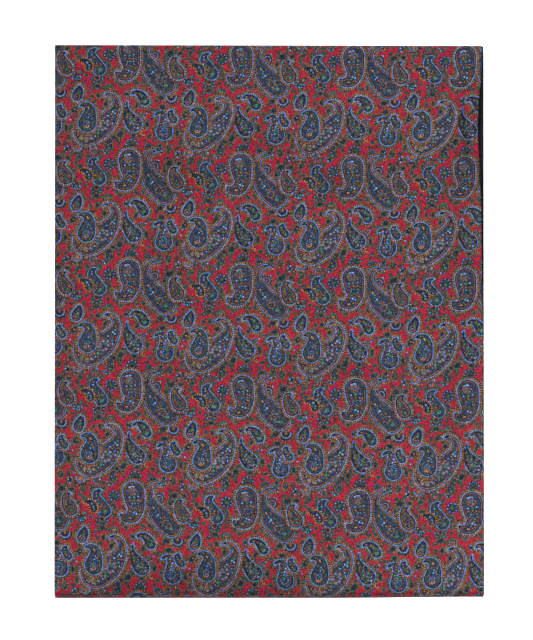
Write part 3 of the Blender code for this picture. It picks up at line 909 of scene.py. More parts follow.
class PrintedSilk:
    """Madder silk twill, woven fine and block printed after weaving.

    To the eye it is a soft matt-satin red with slightly uneven, grainy inks,
    no hard highlight, and a faint slanting twill.
    """

    name = "madder_silk_twill_printed"

    def build(self) -> Material:
        """Make the material."""
        bench = Bench(self.name)
        chart = bench.add("Attribute", attribute_name="chart").node.outputs["Vector"]
        bleed = bench.add("TexNoise", {"Vector": chart, "Scale": 0.9, "Detail": 2.0}, noise_dimensions="2D")
        wander = bench.add("MULTIPLY_ADD", {0: bleed, 1: BLEED_MM, 2: -0.5 * BLEED_MM})
        ground = dyed(GROUND.value)
        colour = self._bands(bench, "under_bands", UNDER_GROUPS, ground, wander)
        colour = self._bands(bench, "over_bands", OVER_GROUPS, colour, wander)
        for layer in range(FLOWER_LAYERS):
            colour = self._flowers(bench, f"flowers_{layer}", colour)
        for layer in range(SPOT_LAYERS):
            colour = self._spots(bench, f"spots_{layer}", colour)
        colour = self._mottled(bench, chart, *self._flecked(bench, chart, colour))
        turned = bench.add("Mapping", {"Vector": chart, "Rotation": (0.0, 0.0, TWILL_SLANT)})
        twill = bench.add("TexWave", {"Vector": turned, "Scale": TWILL_SCALE, "Distortion": 0.6})
        slub = bench.add("TexNoise", {"Vector": chart, "Scale": 0.35, "Detail": 3.0}, noise_dimensions="2D")
        relief = bench.add("MULTIPLY_ADD", {0: slub, 1: 3.0, 2: twill.node.outputs["Fac"]})
        bump = bench.add("Bump", {"Strength": 0.25, "Distance": 0.00006, "Height": relief})
        gloss = bench.add("MULTIPLY_ADD", {0: slub, 1: 0.12, 2: 0.58})
        shader = bench.add(
            "BsdfPrincipled",
            {
                "Base Color": colour,
                "Roughness": gloss,
                "IOR": 1.5,
                "Specular IOR Level": 0.03,
                "Sheen Weight": 0.02,
                "Sheen Roughness": 0.45,
                "Normal": bump,
            },
        )
        bench.add("OutputMaterial", {"Surface": shader})
        return bench.material

    @staticmethod
    def _field(bench: Bench, attribute: str) -> tuple[Socket, ...]:
        """The three numbers that the mesh holds at a corner."""
        field = bench.add("Attribute", attribute_name=attribute).node.outputs["Vector"]
        return tuple(bench.add("SeparateXYZ", {0: field}).node.outputs)

    @staticmethod
    def _looked_up(bench: Bench, kind: Socket, colours: list[tuple[float, ...]]) -> tuple[Socket, ...]:
        """Look up four numbers by an ornament's kind: a ramp's colour and its alpha."""
        count = len(colours)
        spot = bench.add("MULTIPLY_ADD", {0: kind, 1: 1 / count, 2: 0.5 / count})
        stops = [(index / count, colour) for index, colour in enumerate(colours)]
        return tuple(bench.add("ValToRGB", {"Fac": spot}, stops=stops).node.outputs)

    def _bands(
        self,
        bench: Bench,
        attribute: str,
        groups: tuple[tuple[str, ...], ...],
        below: object,
        wander: Socket,
    ) -> Socket:
        """Print one layer of paisleys over the colour below.

        A band's ink is looked up by its style and by how far the point lies
        inside the style's outer edge, with the styles side by side in a ramp.
        Ticked and beaded bands are dark for half of each beat.

        Args:
            bench: The finish's nodes.
            attribute: The mesh's name for the layer.
            groups: Styles that share a ramp, in the order of BAND_STYLES.
            below: Colour of the layer below.
            wander: How far the inks' edges wander, in mm.

        Returns:
            The printed colour.
        """
        from_edge, beat, style = self._field(bench, attribute)
        edge = bench.add("ADD", {0: from_edge, 1: wander})
        ends = {"To Min": RAMP_LOW, "To Max": RAMP_LOW + RAMP_SPAN}
        inward = bench.add("MapRange", {"Value": edge, "From Min": -BAND_DEPTH, "From Max": 0.0, **ends})
        place = bench.add("ADD", {0: inward, 1: style})
        ink, solid = None, None
        first = list(BAND_STYLES).index(groups[0][0])
        for styles in groups:
            share = 1.0 / len(styles)
            spot = bench.add("MULTIPLY_ADD", {0: place, 1: share, 2: -first * share})
            ramp = bench.add("ValToRGB", {"Fac": spot}, stops=self._band_stops(styles)).node
            if ink is None:
                ink, solid = ramp.outputs["Color"], ramp.outputs["Alpha"]
            else:
                past = bench.add("GREATER_THAN", {0: style, 1: first - 0.5})
                ink = bench.add("Mix", {0: past, 6: ink, 7: ramp.outputs["Color"]})
                solid = bench.add("Mix", {0: past, 2: solid, 3: ramp.outputs["Alpha"]}, data_type="FLOAT")
            first += len(styles)
        shifted = bench.add("ADD", {0: beat, 1: solid})
        part = bench.add("FRACT", {0: shifted})
        gap = bench.add("GREATER_THAN", {0: part, 1: 0.5})
        bare = bench.add("SUBTRACT", {0: gap, 1: solid})
        ink = bench.add("Mix", {0: bare, 6: ink, 7: dyed(BLACK.value)}, clamp_factor=True)
        inside = bench.add("LESS_THAN", {0: edge, 1: 0.0})
        return bench.add("Mix", {0: inside, 6: below, 7: ink})

    @staticmethod
    def _band_stops(styles: tuple[str, ...]) -> list[tuple[float, tuple[float, ...]]]:
        """Ramp stops of several styles side by side, with how each band is laid as alpha."""
        stops = []
        for row, name in enumerate(styles):
            style = BAND_STYLES[name]
            for start, ink, *laid in style.bands:
                inward = max(0.0, 1 + (start - style.reach) / BAND_DEPTH)
                place = row + RAMP_LOW * (inward > 0) + RAMP_SPAN * inward
                stops.append((place / len(styles), dyed(ink.value, (*laid, Laid.SOLID)[0].value)))
        return stops

    def _flowers(self, bench: Bench, attribute: str, below: object) -> Socket:
        """Print one layer of flowers, fans and sprigs over the colour below.

        The angle round the middle is wrapped into one petal's share, so all
        petals are one oval: (along the ray - ring) and (across the ray).

        Args:
            bench: The finish's nodes.
            attribute: The mesh's name for the layer.
            below: Colour of the layer below.

        Returns:
            The printed colour.
        """
        across, along, kind = self._field(bench, attribute)
        kinds = FLOWER_KINDS.values()
        petal = [dyed(each.petal_ink.value, each.long / RAMP_MM) for each in kinds]
        rim = [dyed(each.rim_ink.value, each.rim) for each in kinds]
        disc = [dyed(each.disc_ink.value, each.disc / RAMP_MM) for each in kinds]
        heart = [dyed(each.heart_ink.value, each.heart / RAMP_MM) for each in kinds]
        shape = [
            (
                each.petals / RAMP_PETALS,
                each.ring / RAMP_MM,
                each.wide / RAMP_MM,
                (each.floor + RAMP_MM) / RAMP_MM,
            )
            for each in kinds
        ]
        petal_ink, petal_long = self._looked_up(bench, kind, petal)
        rim_ink, rim_wide = self._looked_up(bench, kind, rim)
        disc_ink, disc_out = self._looked_up(bench, kind, disc)
        heart_ink, heart_out = self._looked_up(bench, kind, heart)
        counts, floor_share = self._looked_up(bench, kind, shape)
        sizes = bench.add("SeparateColor", {0: counts}).node.outputs
        across_square = bench.add("MULTIPLY", {0: across, 1: across})
        square = bench.add("MULTIPLY_ADD", {0: along, 1: along, 2: across_square})
        out = bench.add("SQRT", {0: square})
        angle = bench.add("ARCTAN2", {0: across, 1: along})
        petals = bench.add("MULTIPLY", {0: sizes["Red"], 1: RAMP_PETALS})
        half_share = bench.add("DIVIDE", {0: math.pi, 1: petals})
        other_half = bench.add("MULTIPLY", {0: half_share, 1: -1.0})
        own = bench.add("WRAP", {0: angle, 1: half_share, 2: other_half})
        ray = bench.add("COSINE", {0: own})
        ray_out = bench.add("MULTIPLY", {0: ray, 1: out})
        past_ring = bench.add("MULTIPLY_ADD", {0: sizes["Green"], 1: -RAMP_MM, 2: ray_out})
        slant = bench.add("SINE", {0: own})
        slant_out = bench.add("MULTIPLY", {0: slant, 1: out})
        long, wide, disc_end, heart_end = (
            bench.add("MULTIPLY", {0: share, 1: RAMP_MM})
            for share in (petal_long, sizes["Blue"], disc_out, heart_out)
        )
        far = bench.add("DIVIDE", {0: past_ring, 1: long})
        aside = bench.add("DIVIDE", {0: slant_out, 1: wide})
        far_square = bench.add("MULTIPLY", {0: far, 1: far})
        oval_square = bench.add("MULTIPLY_ADD", {0: aside, 1: aside, 2: far_square})
        oval = bench.add("SQRT", {0: oval_square})
        bearing = bench.add("ARCTAN2", {0: aside, 1: far})
        rounds = bench.add("MULTIPLY", {0: bearing, 1: long})
        beats = bench.add("MULTIPLY", {0: rounds, 1: PETAL_TICKS})
        beat = bench.add("FRACT", {0: beats})
        gap = bench.add("GREATER_THAN", {0: beat, 1: PETAL_GAP})
        ticked_rim = bench.add("Mix", {0: gap, 6: rim_ink, 7: dyed(BLACK.value)})
        floor = bench.add("MULTIPLY_ADD", {0: floor_share, 1: RAMP_MM, 2: -RAMP_MM})
        above = bench.add("GREATER_THAN", {0: along, 1: floor})
        rim_end = bench.add("ADD", {0: rim_wide, 1: 1.0})
        for reached, end, ink in (
            (out, disc_end, disc_ink),
            (oval, rim_end, ticked_rim),
            (out, heart_end, heart_ink),
            (oval, 1.0, petal_ink),
        ):
            inside = bench.add("LESS_THAN", {0: reached, 1: end})
            shown = bench.add("MULTIPLY", {0: inside, 1: above})
            below = bench.add("Mix", {0: shown, 6: below, 7: ink})
        return below

    def _spots(self, bench: Bench, attribute: str, below: object) -> Socket:
        """Print one layer of oval spots, each a core with a rim, over the colour below.

        Args:
            bench: The finish's nodes.
            attribute: The mesh's name for the layer.
            below: Colour of the layer below.

        Returns:
            The printed colour.
        """
        across, along, kind = self._field(bench, attribute)
        kinds = SPOT_KINDS.values()
        core = [dyed(each.core_ink.value, each.long / RAMP_MM) for each in kinds]
        rim = [dyed(each.rim_ink.value, each.wide / RAMP_MM) for each in kinds]
        shape = [(each.rim_share / RAMP_RIM, 0.0, 0.0, 1.0) for each in kinds]
        core_ink, long = self._looked_up(bench, kind, core)
        rim_ink, wide = self._looked_up(bench, kind, rim)
        rim_share, _ = self._looked_up(bench, kind, shape)
        far = bench.add("DIVIDE", {0: across, 1: long})
        aside = bench.add("DIVIDE", {0: along, 1: wide})
        far_square = bench.add("MULTIPLY", {0: far, 1: far})
        square = bench.add("MULTIPLY_ADD", {0: aside, 1: aside, 2: far_square})
        scaled = bench.add("SQRT", {0: square})
        oval = bench.add("MULTIPLY", {0: scaled, 1: 1 / RAMP_MM})
        share = bench.add("SeparateColor", {0: rim_share}).node.outputs["Red"]
        rim_end = bench.add("MULTIPLY_ADD", {0: share, 1: RAMP_RIM, 2: 1.0})
        in_rim = bench.add("LESS_THAN", {0: oval, 1: rim_end})
        in_core = bench.add("LESS_THAN", {0: oval, 1: 1.0})
        bearing = bench.add("ARCTAN2", {0: aside, 1: far})
        rounds = bench.add("MULTIPLY", {0: bearing, 1: long})
        beats = bench.add("MULTIPLY", {0: rounds, 1: RAMP_MM * PETAL_TICKS})
        beat = bench.add("FRACT", {0: beats})
        gap = bench.add("GREATER_THAN", {0: beat, 1: 0.5})
        half_dark = bench.add("MULTIPLY", {0: gap, 1: 0.5})
        ticked_rim = bench.add("Mix", {0: half_dark, 6: rim_ink, 7: dyed(BLACK.value)})
        colour = bench.add("Mix", {0: in_rim, 6: below, 7: ticked_rim})
        return bench.add("Mix", {0: in_core, 6: colour, 7: core_ink})

    @staticmethod
    def _flecked(bench: Bench, chart: Socket, colour: Socket) -> tuple[Socket, Socket]:
        """Fleck the inks with each other in small cells, the blue ones less.

        The ground is left clear: it alone has much more red than green.

        Args:
            bench: The finish's nodes.
            chart: Place on the chart, in mm.
            colour: The printed colour.

        Returns:
            The flecked colour, and how strongly it is flecked.
        """
        parts = bench.add("SeparateColor", {0: colour}).node.outputs
        redder = bench.add("SUBTRACT", {0: parts["Red"], 1: parts["Green"]})
        ground, ink = (redness * DYE_DEPTH for redness in REDNESS)
        inky = bench.add(
            "MapRange", {"Value": redder, "From Min": ground, "From Max": ink, "To Max": FLECK_SHARE}
        )
        bluer = bench.add("SUBTRACT", {0: parts["Blue"], 1: parts["Red"]})
        blue = bench.add(
            "MapRange", {"Value": bluer, "From Max": BLUENESS * DYE_DEPTH, "To Max": 0.5 * FLECK_SHARE}
        )
        share = bench.add("SUBTRACT", {0: inky, 1: blue})
        cell = bench.add("VectorMath", {0: chart, 1: (FLECK_MM,) * 3}, operation="SNAP")
        chance = bench.add("TexWhiteNoise", {"Vector": cell}, noise_dimensions="2D")
        stops = [(index / len(FLECKS), dyed(ink.value)) for index, ink in enumerate(FLECKS)]
        flecks = bench.add("ValToRGB", {"Fac": chance}, stops=stops)
        return bench.add("Mix", {0: share, 6: colour, 7: flecks}), share

    @staticmethod
    def _mottled(bench: Bench, chart: Socket, colour: Socket, share: Socket) -> Socket:
        """Make depth and hue uneven in small cells, the more so the inkier the cloth is.

        Args:
            bench: The finish's nodes.
            chart: Place on the chart, in mm.
            colour: The flecked colour.
            share: How strongly it is flecked.

        Returns:
            The mottled colour.
        """
        cell = bench.add("VectorMath", {0: chart, 1: (MOTTLE_MM,) * 3}, operation="SNAP")
        chance = bench.add("TexWhiteNoise", {"Vector": cell}, noise_dimensions="2D")
        spread, rest = (HUE_SPREAD,) * 3, (1 - HUE_SPREAD,) * 3
        hues = chance.node.outputs["Color"]
        tint = bench.add("VectorMath", {0: hues, 1: spread, 2: rest}, operation="MULTIPLY_ADD")
        inkier = {0: share, 1: MOTTLE_INKS / FLECK_SHARE, 2: MOTTLE_GROUND}
        uneven = bench.add("MULTIPLY_ADD", inkier)
        off = bench.add("ADD", {0: chance, 1: -0.5})
        level = bench.add("MULTIPLY_ADD", {0: off, 1: uneven, 2: MOTTLE_LEVEL})
        tint = bench.add("VectorMath", {0: tint, "Scale": level}, operation="SCALE")
        return bench.add("Mix", {0: 1.0, 6: colour, 7: tint}, blend_type="MULTIPLY")


class PlainBacking:
    """Fine plain-woven cloth dyed near-black navy.

    To the eye it is flat and dry, with no highlight, a little lighter where
    it catches the light at a grazing angle, and a faint even grain.
    """

    name = "plain_weave_backing_dyed"

    def build(self) -> Material:
        """Make the material."""
        bench = Bench(self.name)
        place = bench.add("TexCoord").node.outputs["Object"]
        lint = bench.add("TexNoise", {"Vector": place, "Scale": 900.0, "Detail": 3.0})
        tone = bench.add("TexNoise", {"Vector": place, "Scale": 60.0, "Detail": 2.0})
        mixed = bench.add("MULTIPLY_ADD", {0: lint, 1: 0.7, 2: tone})
        share = bench.add("MapRange", {"Value": mixed, "From Min": 0.6, "From Max": 1.1})
        colour = bench.add("Mix", {0: share, 6: dyed(BACKING_DARK), 7: dyed(BACKING_LIGHT)})
        warp = bench.add("TexWave", {"Vector": place, "Scale": WEAVE_SCALE}, bands_direction="X")
        weft = bench.add("TexWave", {"Vector": place, "Scale": WEAVE_SCALE}, bands_direction="Y")
        weave = bench.add("MULTIPLY", {0: warp.node.outputs["Fac"], 1: weft.node.outputs["Fac"]})
        relief = bench.add("MULTIPLY_ADD", {0: lint, 1: 1.0, 2: weave})
        bump = bench.add("Bump", {"Strength": 0.3, "Distance": 0.00006, "Height": relief})
        shader = bench.add(
            "BsdfPrincipled",
            {
                "Base Color": colour,
                "Roughness": 0.85,
                "IOR": 1.5,
                "Specular IOR Level": 0.06,
                "Sheen Weight": 0.04,
                "Sheen Roughness": 0.5,
                "Normal": bump,
            },
        )
        bench.add("OutputMaterial", {"Surface": shader})
        return bench.material


class SeamThread:
    """Soft-twisted sewing cotton, dyed to match the backing.

    To the eye it is a dark, dry thread with slanting plies.
    """

    name = "sewing_cotton_twisted"

    def build(self) -> Material:
        """Make the material."""
        bench = Bench(self.name)
        place = bench.add("TexCoord").node.outputs["Object"]
        ply = bench.add("TexWave", {"Vector": place, "Scale": 700.0}, bands_direction="DIAGONAL")
        tone = bench.add("TexNoise", {"Vector": place, "Scale": 400.0})
        share = bench.add("MULTIPLY", {0: tone, 1: 0.6})
        colour = bench.add("Mix", {0: share, 6: linear("191823"), 7: linear("2A2833")})
        bump = bench.add("Bump", {"Strength": 0.5, "Distance": 0.00005, "Height": ply})
        shader = bench.add(
            "BsdfPrincipled",
            {
                "Base Color": colour,
                "Roughness": 0.75,
                "IOR": 1.5,
                "Specular IOR Level": 0.3,
                "Normal": bump,
            },
        )
        bench.add("OutputMaterial", {"Surface": shader})
        return bench.material


class PaleFloor:
    """A pale table of milk-white sheet, softly lit from below.

    To the eye it is plain and bright, with no sheen, and shadows on it are faint.
    """

    name = "milk_white_lit_table"

    def build(self) -> Material:
        """Make the material."""
        bench = Bench(self.name)
        place = bench.add("TexCoord").node.outputs["Object"]
        tone = bench.add("TexNoise", {"Vector": place, "Scale": 4.0})
        colour = bench.add("Mix", {0: tone, 6: linear("F8F8F8"), 7: linear("FDFDFD")})
        shader = bench.add(
            "BsdfPrincipled",
            {
                "Base Color": colour,
                "Roughness": 0.9,
                "Specular IOR Level": 0.0,
                "Emission Color": colour,
                "Emission Strength": 0.8,
            },
        )
        bench.add("OutputMaterial", {"Surface": shader})
        return bench.material


# ------------------------------------------------------------ how it lies


@dataclass(frozen=True)
class Lay:
    """How one stretch's sides lie inside the folded outline, in metres."""

    left: float
    right: float
    drawn: bool = False
    phase: float = 0.0

    def edges(self, along: Array) -> tuple[Array, Array]:
        """Left and right side at places along the scarf.

        Each side is the outline, less the lay, a slight lean and the low
        unevenness of hand-turned edges, which is two sines of other lengths.
        """
        lean = smooth_step((along + HALF_LENGTH) / (2 * HALF_LENGTH))
        uneven = np.sin(along * 140 + self.phase) + 0.7 * np.sin(along * 330 + 2.3 * self.phase)
        left = -HALF_WIDTH + self.left + LEAN_LEFT * lean + EDGE_UNEVEN * (1.7 + uneven)
        right = HALF_WIDTH - self.right - LEAN_RIGHT * lean - EDGE_UNEVEN * (1.7 - uneven)
        if self.drawn:
            rows = np.array(DRAWN_EDGE)
            right = right - np.interp(along, rows[:, 0], rows[:, 1])
        return left, right


# (along, how far in) of the top stretch's right side, which is drawn back.
DRAWN_EDGE = (
    (-0.018, 0.0001),
    (0.000, 0.0009),
    (0.090, 0.0022),
    (0.108, 0.0028),
    (0.126, 0.0038),
    (0.146, 0.0046),
    (0.168, 0.0034),
    (0.186, 0.0016),
    (0.206, 0.0006),
)
TOP = Lay(left=-0.0003, right=-0.0003, drawn=True, phase=0.4)
SECOND = Lay(left=0.0004, right=-0.0003, phase=1.9)
THIRD = Lay(left=0.0006, right=0.0007, phase=3.1)
UNDER = Lay(left=0.0003, right=0.0004, phase=4.6)


class Crease(NamedTuple):
    """A soft trough (depth below 0) or ridge, by its middle, half sizes and turn."""

    across: float
    along: float
    half_length: float
    half_width: float
    depth: float
    turn: float = 0.0

    def lift(self, across: Array, along: Array) -> Array:
        """Lift of the cloth: a hump along the crease times a hump across it."""
        turn = math.radians(self.turn)
        on = (across - self.across) * math.cos(turn) + (along - self.along) * math.sin(turn)
        off = (along - self.along) * math.cos(turn) - (across - self.across) * math.sin(turn)
        return self.depth * hump(on / self.half_length) * hump(off / self.half_width)


TOP_CREASES = (
    # The dimple by the drawn side, and the lip past it.
    Crease(0.1474, 0.146, 0.026, 0.0055, -0.0030, 96),
    Crease(0.1520, 0.149, 0.022, 0.0030, 0.0007, 95),
    # Low folds along the front.
    Crease(0.105, -0.1985, 0.055, 0.0030, -0.0005, 1),
    # Two soft lines down the whole length, and one across the middle.
    Crease(-0.095, 0.010, 0.210, 0.018, 0.0012, 90),
    Crease(-0.024, 0.030, 0.190, 0.016, 0.0011, 91),
    Crease(0.000, -0.024, 0.190, 0.022, 0.0015, 0),
    # Hollows above the middle.
    Crease(0.0265, 0.1025, 0.080, 0.027, -0.0034, -45),
    Crease(-0.065, 0.095, 0.055, 0.030, -0.0017, -4),
    # Short drapes at the right front.
    Crease(0.040, -0.130, 0.050, 0.008, 0.0007, 101),
    Crease(0.063, -0.140, 0.075, 0.016, 0.0013, 93),
    Crease(0.108, -0.140, 0.085, 0.022, 0.0018, 90),
    Crease(0.022, -0.097, 0.026, 0.011, -0.0012, -35),
    Crease(0.143, -0.078, 0.026, 0.010, -0.0012, 60),
    Crease(-0.083, -0.135, 0.030, 0.010, 0.0008, 60),
)


@dataclass(frozen=True)
class TopLoft:
    """How the top stretch lofts over the others, in metres.

    A reach is how far in from its side the loft gets to its height. It is
    short by the dimple, and long where the front fold sags. Sag and low hold
    where they start across and over how far they grow, and swell its middle
    and half width. Low and swell grow forward from the front's start.
    """

    height: float = 0.0045
    left_reach: float = 0.070
    right_reach: float = 0.032
    back_reach: float = 0.075
    dimple_reach: float = 0.013
    dimple_y: float = 0.146
    dimple_half: float = 0.055
    front_reach: float = 0.010
    sag_reach: float = 0.043
    sag_left: tuple[float, float] = (-0.150, 0.060)
    sag_right: tuple[float, float] = (0.070, 0.040)
    low: tuple[float, float] = (0.010, 0.090)
    low_share: float = 0.75
    swell: tuple[float, float] = (-0.045, 0.120)
    swell_share: float = 0.65
    front_start: float = -0.020
    low_length: float = 0.150
    swell_length: float = 0.130
    wave: float = 0.00025
    wave_floor: float = 0.4
    crease_inset: float = 0.006

    def lift(self, across: Array, along: Array) -> Array:
        """Lift of the top stretch: a low loft from its edges, its creases, and low waves.

        The loft rises by smooth steps from the left, the right and the back.
        At the front it rises by 1 - (1 - t)^2, which starts at once, and over
        a longer way where the fold sags, left of the middle. It swells a
        little before that sag, and is lowest at the right front.

        Args:
            across: Metres from the middle, to the right.
            along: Metres from the middle, away from the front fold.

        Returns:
            Height above the flat cloth, never less than 0.
        """
        left, right = TOP.edges(along)
        by_dimple = hump((along - self.dimple_y) / self.dimple_half)
        right_reach = self.right_reach + (self.dimple_reach - self.right_reach) * by_dimple
        side = smooth_step((across - left) / self.left_reach) * smooth_step((right - across) / right_reach)
        back = smooth_step((HALF_LENGTH - along) / self.back_reach)
        sag = smooth_step((self.sag_right[0] - across) / self.sag_right[1])
        sag = sag * smooth_step((across - self.sag_left[0]) / self.sag_left[1])
        front_reach = self.front_reach + (self.sag_reach - self.front_reach) * sag
        front = 1 - (1 - np.clip((HALF_LENGTH + along) / front_reach, 0, 1)) ** 2
        forward = self.front_start - along
        low = smooth_step((across - self.low[0]) / self.low[1]) * smooth_step(forward / self.low_length)
        swell = hump((across - self.swell[0]) / self.swell[1]) * smooth_step(forward / self.swell_length)
        lift = self.height * (1 - self.low_share * low + self.swell_share * swell) * side * back
        waves = np.sin(across * 75 + along * 31 + 0.7) * np.sin(along * 62 - across * 18 + 1.9)
        lift = lift + self.wave * side * back * (waves - self.wave_floor)
        inset = np.minimum(np.minimum(across - left, right - across), HALF_LENGTH - along)
        gate = smooth_step(inset / self.crease_inset)
        for crease in TOP_CREASES:
            lift = lift + crease.lift(across, along) * gate
        return np.maximum(lift, 0.0) * front


def flat_lift(across: Array, along: Array) -> Array:
    """No lift, for the stretches that the others press flat."""
    return np.zeros_like(across)


def draw_in(across: Array, along: Array) -> Array:
    """How far the ends are pulled in at the two right corners, smoothly from inside."""
    reach = HALF_WIDTH - FRONT_DRAW_START
    front = smooth_step((FRONT_AXIS_Y + FRONT_DRAW_REACH - along) / FRONT_DRAW_REACH)
    back = smooth_step((along - HALF_LENGTH + FRONT_DRAW_REACH) / FRONT_DRAW_REACH)
    lean = np.clip(0.5 + across / (2 * HALF_WIDTH), 0, 1)
    return (
        FRONT_CORNER_DRAW * smooth_step((across - FRONT_DRAW_START) / reach) * front
        - BACK_CORNER_DRAW * lean * back
    )


class Stations(NamedTuple):
    """A path's stations as arrays: place, facing and heading in y and z.

    Gone is how far along the cloth each lies, and turned runs from 0 to 1
    over a half-turn, to pass from one stretch's lay to the next one's.
    """

    place: Array
    facing: Array
    heading: Array
    gone: Array
    turned: Array


def straight(start: float, end: float, height: float, facing: int, cell: float) -> Stations:
    """A level leg of the path, in even steps of about a cell."""
    steps = max(2, math.ceil(abs(end - start) / cell))
    along = np.linspace(start, end, steps + 1)
    place = np.stack([along, np.full_like(along, height)], 1)
    level = np.zeros_like(along)
    return Stations(
        place,
        np.stack([level, level + facing], 1),
        np.stack([level + math.copysign(1, end - start), level], 1),
        np.abs(along - start),
        level,
    )


def half_turn(axis: tuple[float, float], radius: float, side: int, start: int, facing: int) -> Stations:
    """A half-turn leg about an axis: y = side r sin a, z = start r cos a.

    Args:
        axis: The fold's axis, y and z.
        radius: Radius of the cloth's surface.
        side: 1 to bulge along +Y, -1 along -Y.
        start: 1 to start at the top, -1 at the bottom.
        facing: 1 where the surface faces out of the fold, -1 where it faces in.

    Returns:
        The leg's stations.
    """
    steps = max(10, math.ceil(math.pi * radius / TURN_STEP))
    angle = np.linspace(0.0, math.pi, steps + 1)
    ray = np.stack([side * np.sin(angle), start * np.cos(angle)], 1)
    heading = np.stack([side * np.cos(angle), -start * np.sin(angle)], 1)
    place = np.array(axis) + radius * ray
    return Stations(place, facing * ray, heading, radius * angle, angle / math.pi)


def joined(*legs: Stations) -> Stations:
    """Join legs end to end, leaving out each leg's repeated first station."""
    parts = [legs[0]]
    for leg in legs[1:]:
        before = parts[-1]
        parts.append(
            Stations(
                leg.place[1:],
                leg.facing[1:],
                leg.heading[1:],
                leg.gone[1:] + before.gone[-1],
                np.maximum(leg.turned[1:], before.turned[-1]),
            )
        )
    return Stations(*(np.concatenate(column) for column in zip(*parts)))


TURN_STEP = 0.0009
RIM_RINGS = 5
RIM_OUT = 0.0008
RIM_LAST = math.radians(35)
# The flat UV map: its empty edge, the cloth's span, and where the strip of the
# inner side starts, how wide it is and how high.
MAP_EDGE = 0.005
MAP_SPAN = 0.99
MAP_STRIP = (0.83, 0.15)
MAP_STRIP_HEIGHT = 0.98


def rim_profile() -> tuple[Array, Array]:
    """A rolled edge: how far out and down each ring lies.

    It is a quarter ellipse, carried on under itself by 35 degrees, where it
    meets the other panel in the seam's groove.
    """
    angle = np.linspace(math.pi / 2, -RIM_LAST, RIM_RINGS + 1)
    depth = BODY / (1 + math.sin(RIM_LAST))
    return RIM_OUT * np.cos(angle), depth * (1 - np.sin(angle))


